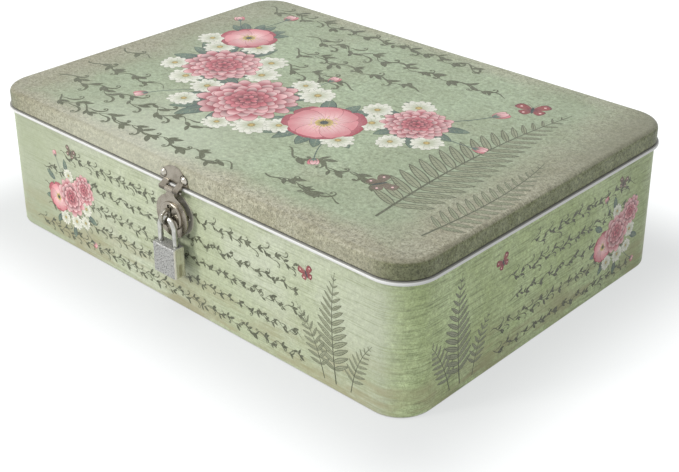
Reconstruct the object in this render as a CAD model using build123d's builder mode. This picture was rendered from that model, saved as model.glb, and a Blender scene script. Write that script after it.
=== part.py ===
from build123d import *
import math
import os

# Tinplate storage box with a hinged lid, two rear hinges, a front hasp and a padlock.
# Millimetres. +X along the long front, -Y towards the front, +Z up.
# The origin is the middle of the box on the surface it stands on.

# Box body: a drawn sheet wall with a bead rolled round it, and a neck that the lid covers
sheet = 0.3
lid_top = 89.0
box_length = 325.0
box_depth = 229.0
corner_radius = 19.5
bead_proud = 2.3
bead_thick = 2.2
bead_round = 1.05
bead_root_round = 0.4
neck_inset = 0.2
neck_rise = 7.2
rim_width = 1.2
rim_depth = 1.4
rim_round = 0.55
flange_width = 5.0
flange_round = 2.0

# Base plate, seated on the flange, its middle pressed down to stand level with it
base_edge_clearance = 2.2
base_step_clearance = 0.3
base_step_lap = 0.7

# Lid: a drawn sheet with a hemmed skirt that hangs over the neck
lid_depth = 11.8
lid_proud = 1.0
lid_gap = 0.25
lid_round = 3.0
hem_width = 0.8
hem_depth = 1.5
hem_round = 0.38
lid_strip_width = 5.0
lid_lap = 1.0

# Rear hinges
hinge_spacing = 180.0
hinge_axis_out = 4.4
hinge_knuckle_radius = 1.9
hinge_pin_radius = 0.8
hinge_pin_clearance = 0.02
hinge_running_clearance = 0.06
hinge_width = 30.0
hinge_lid_knuckle = 10.0
hinge_end_gap = 0.2
hinge_leaf_thick = 0.8
hinge_body_leaf_drop = 17.0
hinge_lid_leaf_rise = 9.2
hinge_web_gap = 0.5
hinge_pin_overhang = 0.5
hinge_pin_head = 0.8
hinge_pin_head_radius = 1.3
hinge_rivet_spacing = 20.0
hinge_rivet_below = 11.3
hinge_rivet_above = 6.2
leaf_corner = 2.5

# Hasp: lid plate, strap and their hinge pin
hasp_x = 2.0
hasp_axis_out = 4.4
hasp_axis_drop = 1.0
hasp_knuckle_radius = 1.7
hasp_pin_radius = 0.75
hasp_running_clearance = 0.06
hasp_pin_clearance = 0.02
hasp_strap_knuckle = 6.2
hasp_plate_knuckle = 4.2
hasp_knuckle_gap = 0.2
hasp_pin_overhang = 1.7
hasp_pin_chamfer = 0.2
hasp_plate_thick = 0.8
hasp_plate_radius = 11.4
hasp_plate_edge = 0.65
hasp_rivet_spacing = 16.4
hasp_rivet_rise = 5.6
strap_thick = 0.8
strap_disc_radius = 12.5
strap_reach = 15.9
strap_neck_round = 2.5
boss_radius = 8.4
boss_rise = 1.2
boss_round = 0.9
slot_width = 3.6
slot_clearance = 1.3
slot_round = 1.2

# Staple: base plate and eye on the front wall
staple_plate_thick = 0.8
staple_rivet_spacing = 17.0
eye_thick = 2.2
eye_out = 8.2
eye_rise = 1.1
eye_hole_radius = 2.9
eye_rim = 1.7
eye_edge_round = 0.5
tang_width = 1.6
tang_height = 6.0
tang_clearance = 0.05
tang_head_radius = 3.4
tang_head_thick = 0.6

# Rivets
rivet_shank_radius = 1.0
rivet_hole_clearance = 0.05
rivet_tail_radius = 1.6
rivet_tail_thick = 0.4
hasp_rivet_head_radius = 2.4
hasp_rivet_head_height = 1.2
small_rivet_head_radius = 1.7
small_rivet_head_height = 0.8

# Padlock case and shackle
case_width = 18.0
case_thick = 8.0
case_height = 18.2
case_corner = 1.4
case_edge = 0.5
shackle_radius = 1.55
shackle_half_span = 5.9
shackle_leg_rise = 9.3
shackle_eye_clearance = 0.15
shackle_bore_clearance = 0.1
heel_depth = 7.6
toe_depth = 4.2
toe_pocket_clearance = 0.2
leg_chamfer = 0.3
case_drop = 4.6

# Shackle spring and the pin that keeps the shackle in the case
heel_spring_length = 4.0
heel_spring_radius = 1.4
heel_spring_bore = 0.9
keeper_radius = 0.5
keeper_depth = 1.6
keeper_bite = 0.6
keeper_clearance = 0.1

# Latch, which bites a notch in the toe of the shackle
latch_thick = 1.0
latch_below_top = 1.25
latch_bite = 0.5
latch_travel = 2.3
latch_clearance = 0.05
latch_half_width = 2.3
latch_nose_half_width = 1.1
latch_nose_length = 1.3
latch_back = 0.2
notch_depth = 0.6
notch_play = 1.1
latch_spring_length = 3.3
latch_spring_radius = 0.45
latch_spring_gap = 0.05

# Plug with its cam pin and keyway
plug_radius = 2.3
plug_clearance = 0.05
cam_pin_radius = 0.45
cam_slot_clearance = 0.1
cam_pin_gap = 0.05
plug_gap = 0.15
keyway_width = 0.9
keyway_depth = 11.0
keyway_reach = 1.7

# Pin tumblers, stored lifted to the plug's edge as a key would hold them
pin_count = 3
pin_first = 2.6
pin_pitch = 2.2
pin_radius = 0.55
pin_clearance = 0.05
key_pin_length = 1.4
driver_pin_length = 2.0
pin_spring_length = 2.6
pin_seam_clearance = 0.05
cover_thick = 0.8
cover_width = 2.0
cover_margin = 1.0


def wall_outline(off):
    """Rounded rectangle that stands off the body wall's outer face."""
    return RectangleRounded(box_length + 2 * off, box_depth + 2 * off, corner_radius + off)


def wall_path():
    """Closed line round the wall's outer face, starting in the middle of the front."""
    half_x = box_length / 2
    half_y = box_depth / 2
    run_x = half_x - corner_radius
    run_y = half_y - corner_radius
    with BuildLine() as path:
        Line((0, -half_y), (run_x, -half_y))
        CenterArc((run_x, -run_y), corner_radius, 270, 90)
        Line((half_x, -run_y), (half_x, run_y))
        CenterArc((run_x, run_y), corner_radius, 0, 90)
        Line((run_x, half_y), (-run_x, half_y))
        CenterArc((-run_x, run_y), corner_radius, 90, 90)
        Line((-half_x, run_y), (-half_x, -run_y))
        CenterArc((-run_x, -run_y), corner_radius, 180, 90)
        Line((-run_x, -half_y), (0, -half_y))
    return path.wire()


def front_section(x):
    """Section plane across the front wall: first axis outwards, second axis up."""
    return Plane(origin=(x, -box_depth / 2, 0), x_dir=(0, -1, 0), z_dir=(-1, 0, 0))


def rear_section(x):
    """Section plane across the rear wall: first axis outwards, second axis up."""
    return Plane(origin=(x, box_depth / 2, 0), x_dir=(0, 1, 0), z_dir=(1, 0, 0))


def front_face(out):
    """Plane parallel to the front wall, centred on the hasp, looking outwards."""
    origin = (hasp_x, -box_depth / 2 - out, 0)
    return Plane(origin=origin, x_dir=(1, 0, 0), z_dir=(0, -1, 0))


def rear_face(x, out):
    """Plane parallel to the rear wall, looking outwards."""
    return Plane(origin=(x, box_depth / 2 + out, 0), x_dir=(-1, 0, 0), z_dir=(0, 1, 0))


def rivet(seat, across, height, grip, head_radius, head_height):
    """Domed rivet: head on the seat plane, shank through the grip, tail behind it."""
    axis_point = seat.from_local_coords((across, height, 0))
    side = Plane(origin=axis_point, x_dir=seat.x_dir, z_dir=seat.y_dir * -1)
    dome = (head_radius**2 + head_height**2) / (2 * head_height)
    with BuildPart() as one_rivet:
        with BuildSketch(side):
            with BuildLine():
                Polyline(
                    (0, head_height),
                    (0, -grip - rivet_tail_thick),
                    (rivet_tail_radius, -grip - rivet_tail_thick),
                    (rivet_tail_radius, -grip),
                    (rivet_shank_radius, -grip),
                    (rivet_shank_radius, 0),
                    (head_radius, 0),
                )
                RadiusArc((head_radius, 0), (0, head_height), -dome)
            make_face()
        revolve(axis=Axis(axis_point, seat.z_dir))
    return one_rivet.part


# Places that several pieces share
bead_height = lid_top - lid_depth
bead_top = bead_height + bead_thick / 2
bead_bottom = bead_height - bead_thick / 2
neck_top = bead_top + neck_rise
lid_bottom = bead_top + lid_gap
hinge_places = (-hinge_spacing / 2, hinge_spacing / 2)
rivet_hole_radius = rivet_shank_radius + rivet_hole_clearance
hinge_body_rivet_height = bead_height - hinge_rivet_below
hinge_lid_rivet_height = bead_height + hinge_rivet_above
hinge_rivet_offsets = (-hinge_rivet_spacing / 2, hinge_rivet_spacing / 2)
hasp_rivet_offsets = (-hasp_rivet_spacing / 2, hasp_rivet_spacing / 2)
staple_rivet_offsets = (-staple_rivet_spacing / 2, staple_rivet_spacing / 2)
drill_depth = 6.0
hasp_axis_height = bead_height - hasp_axis_drop
hasp_plate_bottom = lid_bottom + hasp_plate_edge
hasp_rivet_height = bead_height + hasp_rivet_rise
strap_disc_height = hasp_axis_height - strap_reach
eye_height = strap_disc_height + eye_rise

# Body shell: flange, wall, bead, neck and turned-in rim are one sheet
with BuildPart() as body_shell:
    with BuildSketch(front_section(0)):
        with BuildLine():
            body_outer = FilletPolyline(
                (-flange_width, 0),
                (0, 0),
                (0, bead_bottom),
                (bead_proud, bead_bottom),
                (bead_proud, bead_top),
                (-neck_inset, bead_top),
                (-neck_inset, neck_top),
                (-neck_inset - rim_width, neck_top),
                (-neck_inset - rim_width, neck_top - rim_depth),
                radius=[
                    flange_round,
                    bead_root_round,
                    bead_round,
                    bead_round,
                    bead_root_round,
                    rim_round,
                    rim_round,
                ],
            )
            offset(body_outer, amount=sheet, side=Side.LEFT)
        make_face()
    sweep(path=wall_path())
    with BuildSketch(front_face(drill_depth / 2)):
        with Locations(*[(dx, strap_disc_height) for dx in staple_rivet_offsets]):
            Circle(rivet_hole_radius)
        with Locations((0, eye_height)):
            Rectangle(tang_width + 2 * tang_clearance, tang_height + 2 * tang_clearance)
    extrude(amount=-drill_depth, mode=Mode.SUBTRACT)
    for hinge_x in hinge_places:
        with BuildSketch(rear_face(hinge_x, drill_depth / 2)):
            with Locations(*[(dx, hinge_body_rivet_height) for dx in hinge_rivet_offsets]):
                Circle(rivet_hole_radius)
        extrude(amount=-drill_depth, mode=Mode.SUBTRACT)
body_shell.part.label = "body_shell"

# Base plate: its rim lies on the flange and its middle is pressed down level with it
step_edge = flange_width + base_step_clearance
with BuildPart() as base_plate:
    with BuildSketch(Plane.XY.offset(sheet)):
        wall_outline(-base_edge_clearance)
        wall_outline(-step_edge - base_step_lap)
    extrude(amount=sheet)
    with BuildSketch(Plane.XY.offset(sheet)):
        wall_outline(-step_edge - base_step_lap)
    extrude(amount=sheet, mode=Mode.SUBTRACT)
    with BuildSketch(Plane.XY):
        wall_outline(-step_edge)
    extrude(amount=sheet)
base_plate.part.label = "base_plate"

# Lid shell: hem, skirt, rounded edge and top are one sheet
with BuildPart() as lid_shell:
    with BuildSketch(front_section(0)):
        with BuildLine():
            lid_outer = FilletPolyline(
                (lid_proud - hem_width, lid_bottom + hem_depth),
                (lid_proud - hem_width, lid_bottom),
                (lid_proud, lid_bottom),
                (lid_proud, lid_top),
                (lid_proud - lid_strip_width, lid_top),
                radius=[hem_round, hem_round, lid_round],
            )
            offset(lid_outer, amount=sheet, side=Side.LEFT)
        make_face()
    sweep(path=wall_path())
    with BuildSketch(Plane.XY.offset(lid_top - sheet)):
        wall_outline(lid_proud - lid_strip_width + lid_lap)
    extrude(amount=sheet)
    with BuildSketch(front_face(drill_depth / 2)):
        with Locations(*[(dx, hasp_rivet_height) for dx in hasp_rivet_offsets]):
            Circle(rivet_hole_radius)
    extrude(amount=-drill_depth, mode=Mode.SUBTRACT)
    for hinge_x in hinge_places:
        with BuildSketch(rear_face(hinge_x, drill_depth / 2)):
            with Locations(*[(dx, hinge_lid_rivet_height) for dx in hinge_rivet_offsets]):
                Circle(rivet_hole_radius)
        extrude(amount=-drill_depth, mode=Mode.SUBTRACT)
lid_shell.part.label = "lid_shell"

# Rear hinges: the lid leaf has the middle knuckle, the body leaf the two outer ones
hinge_lid_half = hinge_lid_knuckle / 2
hinge_outer_start = hinge_lid_half + hinge_end_gap
hinge_outer_length = hinge_width / 2 - hinge_outer_start
body_leaf_top = bead_bottom - hinge_web_gap
body_leaf_bottom = bead_height - hinge_body_leaf_drop
lid_leaf_bottom = bead_top + hinge_web_gap
lid_leaf_top = bead_height + hinge_lid_leaf_rise
lid_leaf_seat = lid_proud

hinge_parts = {}
for hinge_name, hinge_x in zip(("left", "right"), hinge_places):
    with BuildPart() as body_leaf:
        with BuildSketch(rear_face(hinge_x, 0)):
            with Locations((0, (body_leaf_top + body_leaf_bottom) / 2)):
                Rectangle(hinge_width, body_leaf_top - body_leaf_bottom)
        extrude(amount=hinge_leaf_thick)
        fillet(body_leaf.edges().filter_by(Axis.Y).group_by(Axis.Z)[0], radius=leaf_corner)
        for side in (-1, 1):
            middle = hinge_x + side * (hinge_outer_start + hinge_outer_length / 2)
            with BuildSketch(rear_section(middle)):
                with Locations((hinge_axis_out / 2, body_leaf_top - hinge_leaf_thick / 2)):
                    Rectangle(hinge_axis_out, hinge_leaf_thick)
                with Locations((hinge_axis_out, bead_height)):
                    Circle(hinge_knuckle_radius)
            extrude(amount=hinge_outer_length / 2, both=True)
        with BuildSketch(rear_section(hinge_x)):
            with Locations((hinge_axis_out, bead_height)):
                Circle(hinge_pin_radius + hinge_pin_clearance)
        extrude(amount=hinge_width, both=True, mode=Mode.SUBTRACT)
        with BuildSketch(rear_face(hinge_x, drill_depth / 2)):
            with Locations(*[(dx, hinge_body_rivet_height) for dx in hinge_rivet_offsets]):
                Circle(rivet_hole_radius)
        extrude(amount=-drill_depth, mode=Mode.SUBTRACT)

    with BuildPart() as lid_leaf:
        with BuildSketch(rear_face(hinge_x, lid_leaf_seat)):
            with Locations((0, (lid_leaf_top + lid_leaf_bottom) / 2)):
                Rectangle(hinge_width, lid_leaf_top - lid_leaf_bottom)
        extrude(amount=hinge_leaf_thick)
        fillet(lid_leaf.edges().filter_by(Axis.Y).group_by(Axis.Z)[-1], radius=leaf_corner)
        web_length = hinge_axis_out - lid_leaf_seat
        with BuildSketch(rear_section(hinge_x)):
            with Locations((lid_leaf_seat + web_length / 2, lid_leaf_bottom + hinge_leaf_thick / 2)):
                Rectangle(web_length, hinge_leaf_thick)
            with Locations((hinge_axis_out, bead_height)):
                Circle(hinge_knuckle_radius)
                Circle(hinge_pin_radius + hinge_running_clearance, mode=Mode.SUBTRACT)
        extrude(amount=hinge_lid_half, both=True)
        with BuildSketch(rear_face(hinge_x, drill_depth / 2)):
            with Locations(*[(dx, hinge_lid_rivet_height) for dx in hinge_rivet_offsets]):
                Circle(rivet_hole_radius)
        extrude(amount=-drill_depth, mode=Mode.SUBTRACT)

    with BuildPart() as hinge_pin:
        with BuildSketch(rear_section(hinge_x)):
            with Locations((hinge_axis_out, bead_height)):
                Circle(hinge_pin_radius)
        extrude(amount=hinge_width / 2 + hinge_pin_overhang, both=True)
        for side in (-1, 1):
            head_x = hinge_x + side * (hinge_width / 2 + hinge_pin_overhang)
            with BuildSketch(rear_section(head_x)):
                with Locations((hinge_axis_out, bead_height)):
                    Circle(hinge_pin_head_radius)
            extrude(amount=side * hinge_pin_head)
    hinge_parts[f"hinge_{hinge_name}_body_leaf"] = body_leaf.part
    hinge_parts[f"hinge_{hinge_name}_lid_leaf"] = lid_leaf.part
    hinge_parts[f"hinge_{hinge_name}_pin"] = hinge_pin.part

for node_name, node_part in hinge_parts.items():
    node_part.label = node_name

body_leaf_rivets = [
    rivet(
        rear_face(hinge_x, hinge_leaf_thick),
        dx,
        hinge_body_rivet_height,
        hinge_leaf_thick + sheet,
        small_rivet_head_radius,
        small_rivet_head_height,
    )
    for hinge_x in hinge_places
    for dx in hinge_rivet_offsets
]
with BuildPart() as hinge_body_rivets:
    add(body_leaf_rivets)
hinge_body_rivets.part.label = "hinge_body_rivets"

lid_leaf_rivets = [
    rivet(
        rear_face(hinge_x, lid_leaf_seat + hinge_leaf_thick),
        dx,
        hinge_lid_rivet_height,
        hinge_leaf_thick + sheet,
        small_rivet_head_radius,
        small_rivet_head_height,
    )
    for hinge_x in hinge_places
    for dx in hinge_rivet_offsets
]
with BuildPart() as hinge_lid_rivets:
    add(lid_leaf_rivets)
hinge_lid_rivets.part.label = "hinge_lid_rivets"

# Hasp lid plate: half-round plate on the skirt, with two knuckles that reach past the bead
plate_knuckle_middle = hasp_strap_knuckle / 2 + hasp_knuckle_gap + hasp_plate_knuckle / 2
knuckle_corner = hasp_knuckle_radius * math.cos(math.radians(45))
plate_cut = 2 * (hasp_plate_radius + hasp_plate_thick)
with BuildPart() as hasp_lid_plate:
    with BuildSketch(front_face(lid_proud)):
        with Locations((0, bead_height)):
            Circle(hasp_plate_radius)
        with Locations((0, hasp_plate_bottom - plate_cut / 2)):
            Rectangle(plate_cut, plate_cut, mode=Mode.SUBTRACT)
    extrude(amount=hasp_plate_thick)
    for side in (-1, 1):
        with BuildSketch(front_section(hasp_x + side * plate_knuckle_middle)):
            with BuildLine():
                Polyline(
                    (lid_proud, hasp_plate_bottom),
                    (lid_proud + hasp_plate_thick, hasp_plate_bottom + hasp_plate_thick),
                    (hasp_axis_out + knuckle_corner, hasp_axis_height + knuckle_corner),
                    (hasp_axis_out, hasp_axis_height),
                    close=True,
                )
            make_face()
            with Locations((hasp_axis_out, hasp_axis_height)):
                Circle(hasp_knuckle_radius)
        extrude(amount=hasp_plate_knuckle / 2, both=True)
    with BuildSketch(front_section(hasp_x)):
        with Locations((hasp_axis_out, hasp_axis_height)):
            Circle(hasp_pin_radius + hasp_pin_clearance)
    extrude(amount=hasp_plate_radius, both=True, mode=Mode.SUBTRACT)
    with BuildSketch(front_face(drill_depth / 2)):
        with Locations(*[(dx, hasp_rivet_height) for dx in hasp_rivet_offsets]):
            Circle(rivet_hole_radius)
    extrude(amount=-drill_depth, mode=Mode.SUBTRACT)
hasp_lid_plate.part.label = "hasp_lid_plate"

lid_plate_rivets = [
    rivet(
        front_face(lid_proud + hasp_plate_thick),
        dx,
        hasp_rivet_height,
        hasp_plate_thick + sheet,
        hasp_rivet_head_radius,
        hasp_rivet_head_height,
    )
    for dx in hasp_rivet_offsets
]
with BuildPart() as hasp_lid_rivets:
    add(lid_plate_rivets)
hasp_lid_rivets.part.label = "hasp_lid_rivets"

hasp_pin_half = plate_knuckle_middle + hasp_plate_knuckle / 2 + hasp_pin_overhang
with BuildPart() as hasp_pin:
    with BuildSketch(front_section(hasp_x)):
        with Locations((hasp_axis_out, hasp_axis_height)):
            Circle(hasp_pin_radius)
    extrude(amount=hasp_pin_half, both=True)
    chamfer(hasp_pin.edges().filter_by(GeomType.CIRCLE), length=hasp_pin_chamfer)
hasp_pin.part.label = "hasp_pin"

# Staple eye: a lug with a hole for the shackle, and a tang riveted behind the wall
eye_outer_radius = eye_hole_radius + eye_rim
tang_seat = staple_plate_thick
with BuildPart() as staple_eye:
    with BuildSketch(front_section(hasp_x)):
        with Locations(((tang_seat + eye_out) / 2, eye_height)):
            Rectangle(eye_out - tang_seat, 2 * eye_outer_radius)
        with Locations((eye_out, eye_height)):
            Circle(eye_outer_radius)
            Circle(eye_hole_radius, mode=Mode.SUBTRACT)
    extrude(amount=eye_thick / 2, both=True)
    fillet(staple_eye.edges().filter_by(GeomType.CIRCLE), radius=eye_edge_round)
    with BuildSketch(front_face(tang_seat)):
        with Locations((0, eye_height)):
            Rectangle(tang_width, tang_height)
    extrude(amount=-tang_seat - sheet)
    with BuildSketch(front_face(-sheet)):
        with Locations((0, eye_height)):
            Circle(tang_head_radius)
    extrude(amount=-tang_head_thick)
staple_eye.part.label = "staple_eye"

with BuildPart() as staple_plate:
    with BuildSketch(front_face(0)):
        with Locations((0, strap_disc_height)):
            Circle(strap_disc_radius)
        with Locations(*[(dx, strap_disc_height) for dx in staple_rivet_offsets]):
            Circle(rivet_hole_radius, mode=Mode.SUBTRACT)
        with Locations((0, eye_height)):
            Rectangle(
                tang_width + 2 * tang_clearance,
                tang_height + 2 * tang_clearance,
                mode=Mode.SUBTRACT,
            )
    extrude(amount=staple_plate_thick)
staple_plate.part.label = "staple_plate"

wall_rivets = [
    rivet(
        front_face(staple_plate_thick),
        dx,
        strap_disc_height,
        staple_plate_thick + sheet,
        small_rivet_head_radius,
        small_rivet_head_height,
    )
    for dx in staple_rivet_offsets
]
with BuildPart() as staple_rivets:
    add(wall_rivets)
staple_rivets.part.label = "staple_rivets"

# Hasp strap: round plate with a pressed boss, a slot for the eye and one knuckle
strap_back = hasp_axis_out - strap_thick / 2
strap_front = hasp_axis_out + strap_thick / 2
slot_length = 2 * (eye_outer_radius + slot_clearance)
with BuildPart() as hasp_strap:
    with BuildSketch(front_face(strap_back)) as strap_outline:
        with Locations((0, strap_disc_height)):
            Circle(strap_disc_radius)
        with Locations((0, (strap_disc_height + hasp_axis_height) / 2)):
            Rectangle(hasp_strap_knuckle, hasp_axis_height - strap_disc_height)
        fillet(strap_outline.vertices().group_by(Axis.Y)[-2], radius=strap_neck_round)
    extrude(amount=strap_thick)
    with BuildSketch(front_face(strap_front)):
        with Locations((0, strap_disc_height)):
            Circle(boss_radius)
    extrude(amount=boss_rise)
    fillet(hasp_strap.faces().sort_by(Axis.Y)[0].edges(), radius=boss_round)
    with BuildSketch(front_face(strap_back)):
        with Locations((0, strap_disc_height)):
            Circle(boss_radius - strap_thick)
    extrude(amount=boss_rise, mode=Mode.SUBTRACT)
    with BuildSketch(front_face(strap_back)):
        with Locations((0, eye_height)):
            RectangleRounded(slot_width, slot_length, slot_round)
    extrude(amount=strap_thick + boss_rise, mode=Mode.SUBTRACT)
    with BuildSketch(front_section(hasp_x)):
        with Locations((hasp_axis_out, hasp_axis_height)):
            Circle(hasp_knuckle_radius)
    extrude(amount=hasp_strap_knuckle / 2, both=True)
    with BuildSketch(front_section(hasp_x)):
        with Locations((hasp_axis_out, hasp_axis_height)):
            Circle(hasp_pin_radius + hasp_running_clearance)
    extrude(amount=hasp_strap_knuckle, both=True, mode=Mode.SUBTRACT)
hasp_strap.part.label = "hasp_strap"

# Padlock: it hangs from the eye, its shackle's plane parallel to the front
case_middle_y = -box_depth / 2 - eye_out
bow_top = eye_height - eye_hole_radius + shackle_radius + shackle_eye_clearance
bow_centre = bow_top - shackle_half_span
case_top = bow_centre - shackle_leg_rise
case_bottom = case_top - case_height
heel_x = -shackle_half_span
toe_x = shackle_half_span
heel_end = case_top - heel_depth
toe_end = case_top - toe_depth
latch_top = case_top - latch_below_top
latch_bottom = latch_top - latch_thick
notch_top = latch_top + latch_clearance
notch_bottom = latch_bottom - notch_play
notch_face = toe_x - shackle_radius + notch_depth
keeper_height = case_top - keeper_depth
keeper_x = heel_x + shackle_radius + keeper_radius - keeper_bite


def lock_level(height):
    """Level plane in the middle of the padlock."""
    return Plane(origin=(hasp_x, case_middle_y, height), x_dir=(1, 0, 0), z_dir=(0, 0, 1))


def lock_front():
    """Upright plane through the middle of the padlock, parallel to the front."""
    return Plane(origin=(hasp_x, case_middle_y, 0), x_dir=(1, 0, 0), z_dir=(0, -1, 0))


def lock_side(x):
    """Upright plane square to the front: first axis inwards, second axis up."""
    return Plane(origin=(hasp_x + x, case_middle_y, 0), x_dir=(0, 1, 0), z_dir=(1, 0, 0))


with BuildPart() as padlock_shackle:
    with BuildLine(lock_front()) as shackle_path:
        Line((heel_x, heel_end), (heel_x, bow_centre))
        CenterArc((0, bow_centre), shackle_half_span, 180, -180)
        Line((toe_x, bow_centre), (toe_x, toe_end))
    with BuildSketch(lock_level(heel_end)):
        with Locations((heel_x, 0)):
            Circle(shackle_radius)
    sweep(path=shackle_path.wire())
    leg_ends = padlock_shackle.faces().filter_by(Axis.Z)
    chamfer(leg_ends.edges(), length=leg_chamfer)
    with BuildSketch(lock_front()):
        notch_middle = (notch_top + notch_bottom) / 2
        with Locations((notch_face - shackle_radius, notch_middle)):
            Rectangle(2 * shackle_radius, notch_top - notch_bottom)
        groove_bottom = keeper_height - case_drop - keeper_radius - keeper_clearance
        groove_top = keeper_height + keeper_radius + keeper_clearance
        groove_face = keeper_x - keeper_radius - keeper_clearance
        with Locations((groove_face + shackle_radius, (groove_bottom + groove_top) / 2)):
            Rectangle(2 * shackle_radius, groove_top - groove_bottom)
    extrude(amount=2 * shackle_radius, both=True, mode=Mode.SUBTRACT)
padlock_shackle.part.label = "padlock_shackle"

heel_bore_bottom = heel_end - heel_spring_length - shackle_bore_clearance
latch_nose_tip = toe_x - shackle_radius + latch_bite
pocket_left = latch_back - latch_spring_length - latch_spring_gap
cam_height = latch_top - cam_pin_gap
plug_top = latch_bottom - latch_clearance - plug_gap
pin_heights = [case_bottom + pin_first + i * pin_pitch for i in range(pin_count)]
key_pin_end = plug_radius - pin_seam_clearance
driver_pin_start = plug_radius + plug_clearance + pin_seam_clearance
driver_pin_end = driver_pin_start + driver_pin_length
pin_spring_end = driver_pin_end + pin_spring_length
cover_height = (pin_count - 1) * pin_pitch + 2 * (pin_radius + cover_margin)
cover_middle = sum(pin_heights) / pin_count

with BuildPart() as padlock_case:
    with BuildSketch(lock_level(case_bottom)):
        RectangleRounded(case_width, case_thick, case_corner)
    extrude(amount=case_top - case_bottom)
    chamfer(padlock_case.faces().filter_by(Axis.Z).edges(), length=case_edge)
    with BuildSketch(lock_level(case_top)):
        with Locations((heel_x, 0)):
            Circle(shackle_radius + shackle_bore_clearance)
    extrude(amount=heel_bore_bottom - case_top, mode=Mode.SUBTRACT)
    with BuildSketch(lock_level(case_top)):
        with Locations((toe_x, 0)):
            Circle(shackle_radius + shackle_bore_clearance)
    extrude(amount=-toe_depth - toe_pocket_clearance, mode=Mode.SUBTRACT)
    with BuildSketch(lock_level(latch_bottom - latch_clearance)):
        with Locations(((pocket_left + latch_nose_tip) / 2, 0)):
            Rectangle(latch_nose_tip - pocket_left, 2 * (latch_half_width + latch_clearance))
    extrude(amount=latch_thick + 2 * latch_clearance, mode=Mode.SUBTRACT)
    with BuildSketch(lock_level(case_bottom)):
        Circle(plug_radius + plug_clearance)
    extrude(amount=latch_bottom - case_bottom, mode=Mode.SUBTRACT)
    with BuildSketch(lock_side(case_width / 2)):
        with Locations(*[(0, height) for height in pin_heights]):
            Circle(pin_radius + pin_clearance)
    extrude(amount=-case_width / 2, mode=Mode.SUBTRACT)
    with BuildSketch(lock_side(case_width / 2 - cover_thick)):
        with Locations((0, cover_middle)):
            RectangleRounded(cover_width, cover_height, cover_width / 2 - pin_clearance)
    extrude(amount=cover_thick, mode=Mode.SUBTRACT)
    with BuildSketch(lock_front()):
        with Locations((keeper_x, keeper_height)):
            Circle(keeper_radius)
    extrude(amount=case_thick / 2, both=True, mode=Mode.SUBTRACT)
padlock_case.part.label = "padlock_case"

with BuildPart() as padlock_keeper_pin:
    with BuildSketch(lock_front()):
        with Locations((keeper_x, keeper_height)):
            Circle(keeper_radius)
    extrude(amount=case_thick / 2, both=True)
padlock_keeper_pin.part.label = "padlock_keeper_pin"

with BuildPart() as padlock_shackle_spring:
    with BuildSketch(lock_level(heel_bore_bottom)):
        with Locations((heel_x, 0)):
            Circle(heel_spring_radius)
            Circle(heel_spring_bore, mode=Mode.SUBTRACT)
    extrude(amount=heel_spring_length)
padlock_shackle_spring.part.label = "padlock_shackle_spring"

# Plug: the key turns it by a quarter, and its cam pin draws the latch out of the notch
cam_x = latch_travel / 2
cam_y = latch_travel / 2
with BuildPart() as padlock_plug:
    with BuildSketch(lock_level(case_bottom)):
        Circle(plug_radius)
    extrude(amount=plug_top - case_bottom)
    with BuildSketch(lock_level(plug_top)):
        with Locations((cam_x, cam_y)):
            Circle(cam_pin_radius)
    extrude(amount=cam_height - plug_top)
    with BuildSketch(lock_level(case_bottom)):
        with Locations(((plug_radius - keyway_reach) / 2, 0)):
            Rectangle(plug_radius + keyway_reach, keyway_width)
    extrude(amount=keyway_depth, mode=Mode.SUBTRACT)
    with BuildSketch(lock_side(0)):
        with Locations(*[(0, height) for height in pin_heights]):
            Circle(pin_radius + pin_clearance)
    extrude(amount=plug_radius, mode=Mode.SUBTRACT)
padlock_plug.part.label = "padlock_plug"

with BuildPart() as padlock_latch:
    with BuildSketch(lock_level(latch_bottom)):
        latch_body_end = latch_nose_tip - latch_nose_length
        with Locations(((latch_back + latch_body_end) / 2, 0)):
            Rectangle(latch_body_end - latch_back, 2 * latch_half_width)
        with Locations((latch_nose_tip - latch_nose_length, 0)):
            Rectangle(2 * latch_nose_length, 2 * latch_nose_half_width)
        slot_half = cam_pin_radius + cam_slot_clearance
        slot_start = cam_y - slot_half
        with Locations((cam_x, (slot_start + latch_half_width) / 2)):
            Rectangle(2 * slot_half, latch_half_width - slot_start, mode=Mode.SUBTRACT)
    extrude(amount=latch_thick)
padlock_latch.part.label = "padlock_latch"

with BuildPart() as padlock_latch_spring:
    with BuildSketch(lock_side(latch_back - latch_spring_length)):
        with Locations((0, (latch_top + latch_bottom) / 2)):
            Circle(latch_spring_radius)
    extrude(amount=latch_spring_length)
padlock_latch_spring.part.label = "padlock_latch_spring"

with BuildPart() as padlock_key_pins:
    for height in pin_heights:
        with BuildSketch(lock_side(key_pin_end - key_pin_length)):
            with Locations((0, height)):
                Circle(pin_radius)
        extrude(amount=key_pin_length)
padlock_key_pins.part.label = "padlock_key_pins"

with BuildPart() as padlock_driver_pins:
    for height in pin_heights:
        with BuildSketch(lock_side(driver_pin_start)):
            with Locations((0, height)):
                Circle(pin_radius)
        extrude(amount=driver_pin_length)
padlock_driver_pins.part.label = "padlock_driver_pins"

with BuildPart() as padlock_pin_springs:
    for height in pin_heights:
        with BuildSketch(lock_side(driver_pin_end)):
            with Locations((0, height)):
                Circle(pin_radius)
                Circle(pin_radius / 2, mode=Mode.SUBTRACT)
        extrude(amount=pin_spring_length)
padlock_pin_springs.part.label = "padlock_pin_springs"

with BuildPart() as padlock_pin_cover:
    with BuildSketch(lock_side(case_width / 2 - cover_thick)):
        with Locations((0, cover_middle)):
            RectangleRounded(cover_width, cover_height, cover_width / 2 - pin_clearance)
    extrude(amount=cover_thick)
    with BuildSketch(lock_side(pin_spring_end)):
        with Locations(*[(0, height) for height in pin_heights]):
            Circle(pin_radius)
    extrude(amount=case_width / 2 - cover_thick - pin_spring_end)
padlock_pin_cover.part.label = "padlock_pin_cover"

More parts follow.
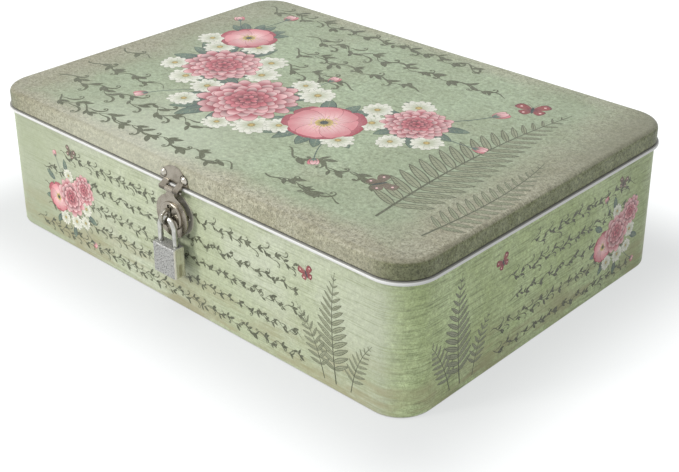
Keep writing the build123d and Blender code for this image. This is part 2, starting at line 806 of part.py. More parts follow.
os.makedirs("parts", exist_ok=True)
export_step(body_shell.part, "parts/body_shell.step")
export_step(base_plate.part, "parts/base_plate.step")
export_step(lid_shell.part, "parts/lid_shell.step")
for node_name, node_part in hinge_parts.items():
    export_step(node_part, f"parts/{node_name}.step")
export_step(hinge_body_rivets.part, "parts/hinge_body_rivets.step")
export_step(hinge_lid_rivets.part, "parts/hinge_lid_rivets.step")
export_step(hasp_lid_plate.part, "parts/hasp_lid_plate.step")
export_step(hasp_lid_rivets.part, "parts/hasp_lid_rivets.step")
export_step(hasp_pin.part, "parts/hasp_pin.step")
export_step(hasp_strap.part, "parts/hasp_strap.step")
export_step(staple_plate.part, "parts/staple_plate.step")
export_step(staple_eye.part, "parts/staple_eye.step")
export_step(staple_rivets.part, "parts/staple_rivets.step")
export_step(padlock_case.part, "parts/padlock_case.step")
export_step(padlock_shackle.part, "parts/padlock_shackle.step")
export_step(padlock_keeper_pin.part, "parts/padlock_keeper_pin.step")
export_step(padlock_shackle_spring.part, "parts/padlock_shackle_spring.step")
export_step(padlock_plug.part, "parts/padlock_plug.step")
export_step(padlock_latch.part, "parts/padlock_latch.step")
export_step(padlock_latch_spring.part, "parts/padlock_latch_spring.step")
export_step(padlock_key_pins.part, "parts/padlock_key_pins.step")
export_step(padlock_driver_pins.part, "parts/padlock_driver_pins.step")
export_step(padlock_pin_springs.part, "parts/padlock_pin_springs.step")
export_step(padlock_pin_cover.part, "parts/padlock_pin_cover.step")
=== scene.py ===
import logging
import math
import random
from collections.abc import Callable, Iterable, Iterator, Sequence
from dataclasses import dataclass, field
from enum import Enum
from typing import ClassVar

import bpy
from mathutils import Matrix, Vector
from mathutils.bvhtree import BVHTree
from mathutils.geometry import delaunay_2d_cdt


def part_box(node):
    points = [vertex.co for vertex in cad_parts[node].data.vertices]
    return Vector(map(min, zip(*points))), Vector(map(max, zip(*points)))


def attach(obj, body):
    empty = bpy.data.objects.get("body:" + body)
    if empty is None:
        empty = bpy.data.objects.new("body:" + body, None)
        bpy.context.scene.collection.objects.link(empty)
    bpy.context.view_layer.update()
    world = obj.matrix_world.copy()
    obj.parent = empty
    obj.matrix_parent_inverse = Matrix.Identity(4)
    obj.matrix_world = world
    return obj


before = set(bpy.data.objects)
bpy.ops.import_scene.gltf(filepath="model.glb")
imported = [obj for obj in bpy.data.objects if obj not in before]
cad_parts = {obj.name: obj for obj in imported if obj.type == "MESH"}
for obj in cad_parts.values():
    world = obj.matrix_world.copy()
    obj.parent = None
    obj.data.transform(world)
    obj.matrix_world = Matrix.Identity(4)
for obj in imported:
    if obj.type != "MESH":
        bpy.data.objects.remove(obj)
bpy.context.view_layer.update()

MM = 0.001
TURN = 2 * math.pi
COLOUR_LAYER = "print_colour"
WELD = 0.002  # points of a drawing that lie this near, in millimetres, become one
INK_LIFT, FLOWER_LIFT = 0.03 * MM, 0.06 * MM  # how far the two layers of print stand off the tin
SATIN = 0.40  # least roughness of print and lacquer
BROAD_FLOWER = 15.0  # radius in millimetres from which a flower gets its finer streaks
log = logging.getLogger("tin_box")

Point = tuple[float, float]
Point3 = tuple[float, float, float]
Colour = tuple[float, float, float]
Screen = tuple[int, int, int]
Socket = bpy.types.NodeSocket


def rgb(red: int, green: int, blue: int) -> Colour:
    """Turns a colour as seen on a screen into linear light.

    Args:
        red: Red, 0 to 255.
        green: Green, 0 to 255.
        blue: Blue, 0 to 255.

    Returns:
        The linear colour.
    """
    shares = (part / 255 for part in (red, green, blue))
    return tuple(s / 12.92 if s <= 0.04045 else ((s + 0.055) / 1.055) ** 2.4 for s in shares)


def placed(name: str, data: bpy.types.ID) -> bpy.types.Object:
    """Makes an object and links it into the scene.

    Args:
        name: Its name.
        data: Its mesh, camera or light.

    Returns:
        The object.
    """
    made = bpy.data.objects.new(name, data)
    bpy.context.scene.collection.objects.link(made)
    return made


class Signal:
    """A value on its way through a node tree, with the nodes' sums written as plain ones."""

    def __init__(self, nodes: "Nodes", socket: Socket) -> None:
        """Wraps an output socket of the tree."""
        self.nodes = nodes
        self.socket = socket

    def __add__(self, other: "Value") -> "Signal":
        """Adds a value."""
        return self.nodes.math("ADD", self, other)

    def __sub__(self, other: "Value") -> "Signal":
        """Takes a value off."""
        return self.nodes.math("SUBTRACT", self, other)

    def __rsub__(self, other: float) -> "Signal":
        """Takes this value off a number."""
        return self.nodes.math("SUBTRACT", other, self)

    def __mul__(self, other: "Value") -> "Signal":
        """Multiplies by a value."""
        return self.nodes.math("MULTIPLY", self, other)

    def __abs__(self) -> "Signal":
        """Drops the sign."""
        return self.nodes.math("ABSOLUTE", self)

    def most(self, other: "Value") -> "Signal":
        """The greater of this value and another."""
        return self.nodes.math("MAXIMUM", self, other)

    def ease(self, low: float, high: float, top: float = 1.0, bottom: float = 0.0) -> "Signal":
        """Eases from one number to another, also where low is above high.

        Args:
            low: The value that gives bottom.
            high: The value that gives top.
            top: The number at high.
            bottom: The number at low.

        Returns:
            The eased number.
        """
        limits = {"Value": self, "From Min": low, "From Max": high, "To Min": bottom, "To Max": top}
        return self.nodes.join("ShaderNodeMapRange", limits, interpolation_type="SMOOTHSTEP")

    def over(self, level: float, low: float, high: float, top: float = 1.0) -> "Signal":
        """Eases from 0 to top between two places, given in millimetres from a level."""
        return self.ease(level + low * MM, level + high * MM, top)


Value = Signal | float | Sequence[float]


class Nodes:
    """A node tree, with short calls for the nodes that the finishes and the studio share."""

    def __init__(self, tree: bpy.types.NodeTree) -> None:
        """Takes up a tree that exists."""
        self.tree = tree

    def add(self, kind: str, **settings: object) -> bpy.types.Node:
        """Adds a node.

        Args:
            kind: The node's type.
            settings: Its plain properties.

        Returns:
            The node.
        """
        node = self.tree.nodes.new(kind)
        for key, value in settings.items():
            setattr(node, key, value)
        return node

    def feed(self, socket: Socket, value: Value) -> None:
        """Links a signal to a socket, or sets the socket's own value.

        Args:
            socket: The input socket.
            value: The signal, or the value.
        """
        if isinstance(value, Signal):
            self.tree.links.new(value.socket, socket)
        else:
            socket.default_value = value

    def join(
        self, kind: str, inputs: dict[int | str, Value], output: int | str = 0, **settings: object
    ) -> Signal:
        """Adds a node and feeds it.

        Args:
            kind: The node's type.
            inputs: What its input sockets get, by number or name.
            output: Number or name of the output socket that is used.
            settings: The node's plain properties.

        Returns:
            What comes out.
        """
        node = self.add(kind, **settings)
        for key, value in inputs.items():
            self.feed(node.inputs[key], value)
        return Signal(self, node.outputs[output])

    def math(self, operation: str, first: Value, second: Value = 0.0) -> Signal:
        """Does sums on two numbers."""
        return self.join("ShaderNodeMath", {0: first, 1: second}, operation=operation)

    def vector(self, operation: str, first: Value, second: Value = (0, 0, 0)) -> Signal:
        """Does sums on two vectors; a length comes out as a number."""
        output = "Value" if operation == "LENGTH" else "Vector"
        return self.join("ShaderNodeVectorMath", {0: first, 1: second}, output, operation=operation)

    def split(self, value: Signal) -> list[Signal]:
        """The x, y and z of a vector."""
        outputs = self.join("ShaderNodeSeparateXYZ", {0: value}).socket.node.outputs
        return [Signal(self, part) for part in outputs]

    def point(self, kind: str = "Object") -> Signal:
        """Where a point lies on its object, in metres, or with Normal which way it faces."""
        return self.join("ShaderNodeTexCoord", {}, kind)

    def mix(self, share: Value, first: Value, second: Value, blend: str = "MIX") -> Signal:
        """Mixes two colours; a plain colour is given as on a screen.

        Args:
            share: The second colour's share.
            first: The first colour.
            second: The second colour.
            blend: How they mix.

        Returns:
            The mixed colour.
        """
        first, second = ((*rgb(*v), 1.0) if isinstance(v, tuple) else v for v in (first, second))
        return self.join(
            "ShaderNodeMix", {0: share, 6: first, 7: second}, 2, data_type="RGBA", blend_type=blend
        )

    def layers(self, colour: Value, *coats: tuple[Value, Value]) -> Signal:
        """Lays coats over a colour.

        Args:
            colour: The lowest colour.
            coats: For each coat, the share that shows and its colour.

        Returns:
            The colour that shows.
        """
        for share, coat in coats:
            colour = self.mix(share, colour, coat)
        return colour

    def show(self, lighting: Signal, looks: Signal, output: str) -> None:
        """Ends the tree with one shader that lights the object and another that is seen.

        Args:
            lighting: What matt surfaces get light from.
            looks: What the camera, a reflection or a transmission sees.
            output: Name of the tree's output node.
        """
        rays = self.add("ShaderNodeLightPath").outputs
        camera, glossy, through = (
            Signal(self, rays[f"Is {kind} Ray"]) for kind in ("Camera", "Glossy", "Transmission")
        )
        seen = camera.most(glossy).most(through)
        both = self.join("ShaderNodeMixShader", {0: seen, 1: lighting, 2: looks})
        self.feed(self.tree.nodes[output].inputs["Surface"], both)


class Wiring(Nodes):
    """The tree of a new material, with its Principled shader and the point on the object."""

    def __init__(self, name: str) -> None:
        """Starts a material.

        Args:
            name: The material's name.
        """
        self.material = bpy.data.materials.new(name)
        self.material.use_nodes = True
        super().__init__(self.material.node_tree)
        self.shader = self.tree.nodes["Principled BSDF"]
        self.place = self.point()

    def noise(self, grain: float | Point3, detail: float = 4.0, rough: float = 0.55) -> Signal:
        """Makes noise around one half.

        Args:
            grain: Size of one patch in millimetres, or its size along each axis.
            detail: How many finer layers it has.
            rough: Strength of the finer layers.

        Returns:
            The noise as a number.
        """
        sizes = grain if isinstance(grain, tuple) else (grain,) * 3
        stretched = self.vector("DIVIDE", self.place, tuple(size * MM for size in sizes))
        inputs = {"Vector": stretched, "Scale": 1.0, "Detail": detail, "Roughness": rough}
        return self.join("ShaderNodeTexNoise", inputs)

    def bump(self, height: Signal, depth: float) -> None:
        """Gives the shader a relief of that depth, in millimetres."""
        relief = self.join("ShaderNodeBump", {"Height": height, "Distance": depth * MM, "Strength": 1.0})
        self.feed(self.shader.inputs["Normal"], relief)

    def satin(self, grain: float, relief: float | Point3, depth: float) -> Signal:
        """Gives print or lacquer a fine relief.

        Args:
            grain: Size of a patch of even gloss, in millimetres.
            relief: Size of one hump, in millimetres.
            depth: Depth of the relief, in millimetres.

        Returns:
            The uneven roughness.
        """
        self.bump(self.noise(relief, 3.0), depth)
        return self.noise(grain, 3.0).ease(0.3, 0.7, 0.10) + SATIN

    def set(self, **values: Value) -> bpy.types.Material:
        """Sets the shader's sockets.

        Args:
            values: What each socket gets, with underscores for the spaces in its name.

        Returns:
            The material.
        """
        for key, value in values.items():
            self.feed(self.shader.inputs[key.replace("_", " ")], value)
        return self.material


@dataclass(frozen=True)
class TinForm:
    """The box's outline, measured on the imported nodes, in metres."""

    half_length: float
    half_depth: float
    corner: float
    bead_low: float
    bead_high: float
    lid_low: float
    lid_top: float
    lid_proud: float
    lid_round: float = 3.0 * MM

    @staticmethod
    def measure() -> "TinForm":
        """Reads the outline from the body and lid nodes.

        Returns:
            The measured form.
        """
        body = [v.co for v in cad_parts["body_shell"].data.vertices]
        foot_high, wall_low, wall_high = 0.005, 0.010, 0.070
        wall = [p for p in body if wall_low < p.z < wall_high or p.z < foot_high]
        half_length = max(abs(p.x) for p in wall)
        half_depth = max(abs(p.y) for p in wall)
        flat = max(abs(p.x) for p in wall if abs(p.y) > half_depth - 0.01 * MM)
        bead = [p.z for p in body if abs(p.y) > half_depth + 1.5 * MM]
        lid_low, lid_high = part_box("lid_shell")
        return TinForm(
            half_length=half_length,
            half_depth=half_depth,
            corner=half_length - flat,
            bead_low=min(bead),
            bead_high=max(bead),
            lid_low=lid_low.z,
            lid_top=lid_high.z,
            lid_proud=lid_high.x - half_length,
        )

    def outside(self, wiring: Wiring, proud: float = 0.0) -> Signal:
        """How far a point lies outside the rounded rectangle, in metres; negative inside.

        Args:
            wiring: The material's node tree.
            proud: How far the rectangle stands off the body wall.

        Returns:
            The distance, right on and near the wall.
        """
        flat = wiring.vector("MULTIPLY", wiring.place, (1, 1, 0))
        inner = (self.half_length - self.corner, self.half_depth - self.corner, 0)
        past = wiring.vector("SUBTRACT", wiring.vector("ABSOLUTE", flat), inner)
        reach = wiring.vector("LENGTH", wiring.vector("MAXIMUM", past))
        return reach - (self.corner + proud)


@dataclass(frozen=True)
class PrintedCoat:
    """Print on tinplate: a ground colour with patches, streaks and fine speckle."""

    ground: Screen
    patch: Screen
    shade: Screen
    streak_grain: float | Point3
    streak_depth: float
    patch_grain: float
    speckle: float
    mottle: float
    lift: int = 14

    def paint(self, wiring: Wiring) -> Signal:
        """Builds the print's colour.

        Args:
            wiring: The material's node tree.

        Returns:
            The colour.
        """
        pale = tuple(min(255, part + self.lift) for part in self.ground)
        colour = wiring.layers(
            self.ground,
            (wiring.noise(self.patch_grain).ease(0.36, 0.64), self.patch),
            (wiring.noise(self.streak_grain, 4.0, 0.62).ease(0.46, 0.70, self.streak_depth), self.shade),
            (wiring.noise(0.75, 2.0).ease(0.49, 0.66, self.speckle), self.shade),
            (wiring.noise(1.05, 2.0).ease(0.52, 0.68, self.speckle * 0.8), pale),
        )
        grain = (wiring.noise(2.4, 4.0, 0.75) - 0.5) * self.mottle + 1.0
        return wiring.mix(1.0, colour, grain, "MULTIPLY")


@dataclass(frozen=True)
class BareTin:
    """Unprinted lacquered tinplate, as inside the box and under it."""

    colour: Screen = (196, 196, 190)
    rolled: Screen = (178, 178, 172)
    roughness: float = 0.34
    metallic: float = 0.85

    def paint(self, wiring: Wiring) -> Signal:
        """Builds the plate's colour, with faint rolling marks."""
        marks = wiring.noise((60.0, 1.5, 1.5)).ease(0.4, 0.75, 0.5)
        return wiring.mix(marks, self.colour, self.rolled)

    def material(self, name: str) -> bpy.types.Material:
        """Builds the material.

        Args:
            name: The material's name.

        Returns:
            The material.
        """
        wiring = Wiring(name)
        marks = wiring.noise((40.0, 1.2, 1.2))
        wiring.bump(marks, 0.01)
        rough = marks.ease(0.35, 0.7, 0.1) + self.roughness
        return wiring.set(Base_Color=self.paint(wiring), Metallic=self.metallic, Roughness=rough)


@dataclass(frozen=True)
class BodyTin:
    """The body's sheet: print outside, a white bead, bare tinplate inside and on the neck, with painted shade
    towards the ends and a painted shadow above the bead.
    """

    form: TinForm
    tin: BareTin = BareTin()
    front: PrintedCoat = PrintedCoat(
        ground=(191, 197, 174), patch=(178, 186, 155), shade=(138, 146, 112),
        streak_grain=(20.0, 20.0, 0.70), streak_depth=0.66, patch_grain=44.0, speckle=0.28, mottle=0.70,
    )
    # the ends' greener coat with darker streaks is print, and partly painted shade for the ends' darker look
    ends: PrintedCoat = PrintedCoat(
        ground=(190, 205, 155), patch=(171, 186, 131), shade=(106, 117, 76),
        streak_grain=(15.0, 17.0, 0.80), streak_depth=0.74, patch_grain=34.0, speckle=0.36, mottle=1.30,
    )
    # painted shade that darkens the front wall towards its ends
    painted_end_shade: Screen = (152, 160, 132)
    foot: Screen = (152, 142, 106)
    bead: Screen = (216, 216, 214)
    # painted shadow in the gap between the lid's skirt and the top of the bead
    painted_gap_shade: Screen = (104, 102, 94)

    def material(self, name: str) -> bpy.types.Material:
        """Builds the material.

        Args:
            name: The material's name.

        Returns:
            The material.
        """
        wiring, form = Wiring(name), self.form
        x, y, height = wiring.split(wiring.place)
        # painted shade: the front darkens towards its left end and, less, towards its right end
        left = x.ease(form.half_length * -0.20, -form.half_length, 0.66)
        right = x.ease(form.half_length * 0.60, form.half_length, 0.35)
        front = wiring.mix(left + right, self.front.paint(wiring), self.painted_end_shade)
        # painted shade: the end walls darken towards the back
        far = y.ease(0.0, form.half_depth, 0.30)
        ends = wiring.mix(far, self.ends.paint(wiring), self.ends.shade)
        at_end = abs(x).ease(form.half_length - form.corner * 0.9, form.half_length - 1.0 * MM)
        stain = wiring.noise((34.0, 34.0, 7.0), 4.0, 0.6).ease(0.38, 0.66) * height.over(0.0, 42, 4, 0.66)
        inside = form.outside(wiring).over(0.0, -0.10, -0.20)
        neck = height.over(form.bead_high, 0.02, 0.15)
        bare = inside.most(neck).most(height.over(0.0, 0.8, 0.3))
        colour = wiring.layers(
            front,
            (at_end, ends),
            (stain, self.foot),
            (height.over(form.bead_low, -0.45, -0.30), self.bead),
            # painted shadow along the top of the bead, under the lid's skirt
            (height.over(form.bead_high, -0.34, -0.14, 0.80), self.painted_gap_shade),
            (bare, self.tin.paint(wiring)),
        )
        rough = wiring.satin(7.0, (2.4, 2.4, 1.2), 0.012)
        return wiring.set(Base_Color=colour, Roughness=rough, Metallic=bare * self.tin.metallic)


@dataclass(frozen=True)
class LidTin:
    """The lid's sheet: mottled print outside, with painted shade towards its ends, on the skirt and along its
    lower edge, a painted reflection near the catch, and bare tinplate inside.
    """

    form: TinForm
    tin: BareTin = BareTin()
    middle: PrintedCoat = PrintedCoat(
        ground=(168, 182, 153), patch=(158, 170, 141), shade=(124, 133, 106),
        streak_grain=(7.0, 3.0, 3.0), streak_depth=0.46, patch_grain=46.0, speckle=0.34, mottle=1.70,
    )
    edge: PrintedCoat = PrintedCoat(
        ground=(184, 181, 160), patch=(168, 164, 141), shade=(108, 104, 81),
        streak_grain=1.5, streak_depth=0.50, patch_grain=22.0, speckle=0.66, mottle=2.20,
    )
    # the skirt's darker coat is print, and laid on fully at the lid's ends as painted shade
    skirt: PrintedCoat = PrintedCoat(
        ground=(137, 142, 107), patch=(113, 118, 79), shade=(56, 58, 38),
        streak_grain=(1.2, 1.2, 2.4), streak_depth=0.60, patch_grain=9.0, speckle=0.70, mottle=1.90,
    )
    # painted shade towards the lid's ends, most at the right and towards the back
    painted_far_shade: Screen = (116, 114, 94)
    # painted reflection: a pale patch of sheen on the lid near the catch
    painted_reflection: Screen = (204, 207, 190)
    # painted shade along the skirt's lower edge
    painted_hem_shade: Screen = (58, 56, 48)
    painted_reflection_at: float = -0.040
    gloss: float = 0.35

    def depth(self, wiring: Wiring, height: Signal) -> tuple[Signal, Signal]:
        """Measures a point against the lid's form.

        Args:
            wiring: The material's node tree.
            height: The point's height.

        Returns:
            How far it lies outside the rounded form, and outside the line where the rounding starts.
        """
        form = self.form
        side = form.outside(wiring, form.lid_proud) + form.lid_round
        top = height - (form.lid_top - form.lid_round)
        both = wiring.join("ShaderNodeCombineXYZ", {0: side.most(0.0), 1: top.most(0.0)})
        return wiring.vector("LENGTH", both) - form.lid_round, side

    def material(self, name: str) -> bpy.types.Material:
        """Builds the material.

        Args:
            name: The material's name.

        Returns:
            The material.
        """
        wiring, form = Wiring(name), self.form
        x, y, height = wiring.split(wiring.place)
        outside, side = self.depth(wiring, height)
        across = abs(x)
        drift = wiring.noise(40.0, 3.0) * (46 * MM)
        at_side = (drift + side * 1.9).over(0.0, -14, 22)
        at_end = (drift - (form.half_length - across) * 0.75).over(0.0, -14, 22)
        back = y.ease(form.half_depth * -0.6, form.half_depth, 0.35)
        # painted shade along the lid's right end, growing towards the back
        rim = x.over(form.half_length, -30, 0, 0.42) * y.ease(form.half_depth * -0.3, form.half_depth * 0.6)
        # painted reflection: the pale patch fades out from a point near the catch
        from_catch = wiring.vector("SUBTRACT", wiring.place, (self.painted_reflection_at, -form.half_depth, form.lid_top))
        down = height.over(form.lid_top, -0.7, -2.0)
        at_corner = across.over(form.half_length, -28, -3)
        # painted shade on the skirt at the near corner
        near = abs(y).ease(form.half_depth * 0.72, form.half_depth) * at_corner
        # painted shade on the front rounding, where the top turns into the skirt
        turned = abs(side - 1.7 * MM).over(0.0, 1.7, 0.3, 0.34) * y.ease(0.0, -form.half_depth)
        bare = outside.over(0.0, -0.10, -0.20)
        colour = wiring.layers(
            self.middle.paint(wiring),
            (at_side.most(at_end) * (1.0 - back), self.edge.paint(wiring)),
            # painted shade towards both ends of the lid
            (across.ease(form.half_length * 0.3, form.half_length, 0.30) + rim, self.painted_far_shade),
            (wiring.vector("LENGTH", from_catch).over(0.0, 95, 12, 0.42), self.painted_reflection),
            # painted shade: the skirt takes its darker coat, fully at the lid's ends
            (down * (at_corner * 0.85 + 0.15), self.skirt.paint(wiring)),
            (near * (down * 0.45).most(0.16), self.skirt.shade),
            (turned, self.edge.shade),
            # painted shade along the skirt's lower edge
            (height.over(form.lid_low, 0.62, 0.22, 0.74), self.painted_hem_shade),
            (bare, self.tin.paint(wiring)),
        )
        rough = wiring.satin(6.0, 1.3, 0.018)
        return wiring.set(
            Base_Color=colour, Roughness=rough, Metallic=bare * self.tin.metallic,
            Specular_IOR_Level=self.gloss,
        )


@dataclass(frozen=True)
class PlatedMetal:
    """Polished or brushed plated metal with faint handling marks."""

    colour: Screen
    roughness: float
    mark_grain: float | Point3 = 6.0
    mark_depth: float = 0.08
    relief: float = 0.006
    metallic: float = 1.0
    dulled: int = 34

    def paint(self, wiring: Wiring) -> tuple[Signal, Signal]:
        """Gives the shader its relief.

        Args:
            wiring: The material's node tree.

        Returns:
            The plate's colour and its roughness.
        """
        marks = wiring.noise(self.mark_grain, 5.0, 0.65)
        wiring.bump(marks, self.relief)
        dull = tuple(max(0, part - self.dulled) for part in self.colour)
        colour = wiring.mix(marks.ease(0.42, 0.78), self.colour, dull)
        return colour, marks.ease(0.35, 0.75, self.mark_depth) + self.roughness

    def material(self, name: str) -> bpy.types.Material:
        """Builds the material.

        Args:
            name: The material's name.

        Returns:
            The material.
        """
        wiring = Wiring(name)
        colour, rough = self.paint(wiring)
        return wiring.set(Base_Color=colour, Roughness=rough, Metallic=self.metallic)


@dataclass(frozen=True)
class RivetedPlate:
    """Plated sheet, darkened with dirt and painted shadow round the heads of its rivets and with painted
    shade on its knuckles.
    """

    metal: PlatedMetal
    rivets: str
    pin: str
    # dark colour for dirt and painted shade round the rivets and on the knuckles
    dirt_and_shade: Screen = (44, 40, 34)
    grime_rough: float = 0.35

    def material(self, name: str) -> bpy.types.Material:
        """Builds the material.

        Args:
            name: The material's name.

        Returns:
            The material.
        """
        wiring = Wiring(name)
        colour, rough = self.metal.paint(wiring)
        low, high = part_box(self.rivets)
        radius = (high.z - low.z) / 2
        knuckle_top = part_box(self.pin)[1].z + 1.0 * MM
        # painted shade on the knuckles, below the top of the pin
        shade_and_dirt = wiring.split(wiring.place)[2].over(knuckle_top, 0.0, -0.9, 0.62)
        # dirt and painted shadow in a ring round each rivet head
        for x in (low.x + radius, high.x - radius):
            offset = wiring.vector("SUBTRACT", wiring.place, (x, 0, low.z + radius))
            reach = wiring.vector("LENGTH", wiring.vector("MULTIPLY", offset, (1, 0, 1)))
            shade_and_dirt = shade_and_dirt.most(reach.over(radius, 0.9, 0.1, 0.9))
        return wiring.set(
            Base_Color=wiring.mix(shade_and_dirt, colour, self.dirt_and_shade),
            Roughness=rough + shade_and_dirt * self.grime_rough,
            Metallic=self.metal.metallic,
        )


@dataclass(frozen=True)
class LockCaseMetal:
    """Plated lock case, blasted on its broad faces and brushed on the narrow ones, whose brighter colour and
    olive streaks are painted light and painted reflection.
    """

    blasted: Screen = (176, 176, 173)
    grit: Screen = (105, 105, 103)
    # painted light: the narrow faces get this brighter colour, on top of a brushed look
    brushed: Screen = (216, 214, 200)
    # painted reflection of the green box, as olive streaks on the narrow faces
    painted_reflection: Screen = (188, 184, 156)

    def material(self, name: str) -> bpy.types.Material:
        """Builds the material.

        Args:
            name: The material's name.

        Returns:
            The material.
        """
        wiring = Wiring(name)
        # painted light: faces that point sideways take the brighter colour
        narrow = abs(wiring.split(wiring.point("Normal"))[0]).ease(0.45, 0.80)
        grit = wiring.noise(0.75, 2.0, 0.6)
        wiring.bump(grit, 0.05)
        broad = wiring.mix(grit.ease(0.46, 0.62), self.blasted, self.grit)
        lines = wiring.noise((0.5, 0.35, 9.0), 3.0).ease(0.45, 0.75)
        side = wiring.mix(lines, self.brushed, self.painted_reflection)
        return wiring.set(
            Base_Color=wiring.mix(narrow, broad, side),
            Roughness=0.46 - narrow * 0.20,
            Metallic=narrow * 0.25 + 0.45,
        )


@dataclass(frozen=True)
class PrintInk:
    """The print's drawn colours, with the unevenness of ink on tinplate."""

    uneven: float = 0.22
    tin: Screen = (186, 188, 166)

    def material(self, name: str) -> bpy.types.Material:
        """Builds the material, which takes its colour from the drawn shapes.

        Args:
            name: The material's name.

        Returns:
            The material.
        """
        wiring = Wiring(name)
        drawn = wiring.join("ShaderNodeVertexColor", {}, "Color", layer_name=COLOUR_LAYER)
        grain = wiring.noise(0.9, 3.0).ease(0.40, 0.72, self.uneven)
        cloud = wiring.noise(9.0, 3.0).ease(0.36, 0.66, self.uneven)
        colour = wiring.mix(cloud, wiring.mix(grain, drawn, self.tin), drawn, "MULTIPLY")
        return wiring.set(Base_Color=colour, Roughness=wiring.satin(6.0, 1.3, 0.012))


@dataclass(frozen=True)
class Tint:
    """A drawn shape's colour, which may change from its root to its tip."""

    root: Colour
    tip: Colour
    origin: Point = (0.0, 0.0)
    reach: float = 1.0
    start: float = 0.0

    def at(self, point: Sequence[float]) -> tuple[float, float, float, float]:
        """Finds the colour at a point of the drawing.

        Args:
            point: The point.

        Returns:
            The colour, at full cover.
        """
        far = math.hypot(point[0] - self.origin[0], point[1] - self.origin[1])
        share = min(1.0, max(0.0, (far - self.start) / self.reach))
        share = share * share * (3 - 2 * share)
        return *(a + (b - a) * share for a, b in zip(self.root, self.tip)), 1.0


@dataclass(frozen=True)
class Spot:
    """Where a motif stands in the drawing: its middle, its turn and its scale."""

    x: float = 0.0
    y: float = 0.0
    turn: float = 0.0
    scale: float = 1.0

    def put(self, point: Point) -> Point:
        """Takes a point of the motif to the drawing."""
        c, s = math.cos(self.turn) * self.scale, math.sin(self.turn) * self.scale
        return self.x + point[0] * c - point[1] * s, self.y + point[0] * s + point[1] * c


def lens(length: float, width: float, front: float, back: float) -> list[Point]:
    """Outline of a petal or leaf that runs from the origin along +x.

    Args:
        length: Its length.
        width: Its greatest width.
        front: Fullness near the root; small is full.
        back: Fullness near the tip; small is full.

    Returns:
        The outline, anticlockwise.
    """
    steps = max(4, min(9, int(3 + 0.45 * length)))
    fullest = front / (front + back)
    top = fullest**front * (1 - fullest) ** back
    shares = [(1 - math.cos(math.pi * i / steps)) / 2 for i in range(steps + 1)]
    side = [(s * length, width / 2 * s**front * (1 - s) ** back / top) for s in shares]
    return [(x, -y) for x, y in side] + [(x, y) for x, y in reversed(side[1:-1])]


def anticlockwise(outline: list[Point]) -> list[Point]:
    """The outline, turned round if it runs clockwise."""
    area = sum(a[0] * b[1] - b[0] * a[1] for a, b in zip(outline, outline[1:] + outline[:1]))
    return outline if area > 0 else outline[::-1]


def holds(outline: list[Point], point: Point) -> bool:
    """Whether an outline goes round a point.

    Args:
        outline: The outline.
        point: The point.

    Returns:
        True if the point lies inside.
    """
    inside = False
    x, y = point
    before = outline[-1]
    for here in outline:
        if (here[1] > y) != (before[1] > y):
            cross = here[0] + (y - here[1]) * (before[0] - here[0]) / (before[1] - here[1])
            inside ^= x < cross
        before = here
    return inside


def middle_of(points: Sequence[Sequence[float]], corner: Sequence[int]) -> Point:
    """The middle of a triangle."""
    a, b, c = (points[i] for i in corner)
    return (a[0] + b[0] + c[0]) / 3, (a[1] + b[1] + c[1]) / 3


def topmost(outlines: list[list[Point]], owners: Sequence[int], point: Point) -> int:
    """Finds the shape that shows at a point.

    Args:
        outlines: The border, then the shapes from the lowest to the top one.
        owners: Numbers of the outlines that may cover the point.
        point: The point.

    Returns:
        The shape's number, or -1 where none shows.
    """
    if 0 in owners:
        for owner in sorted(owners, reverse=True)[:-1]:
            if holds(outlines[owner], point):
                return owner - 1
    return -1


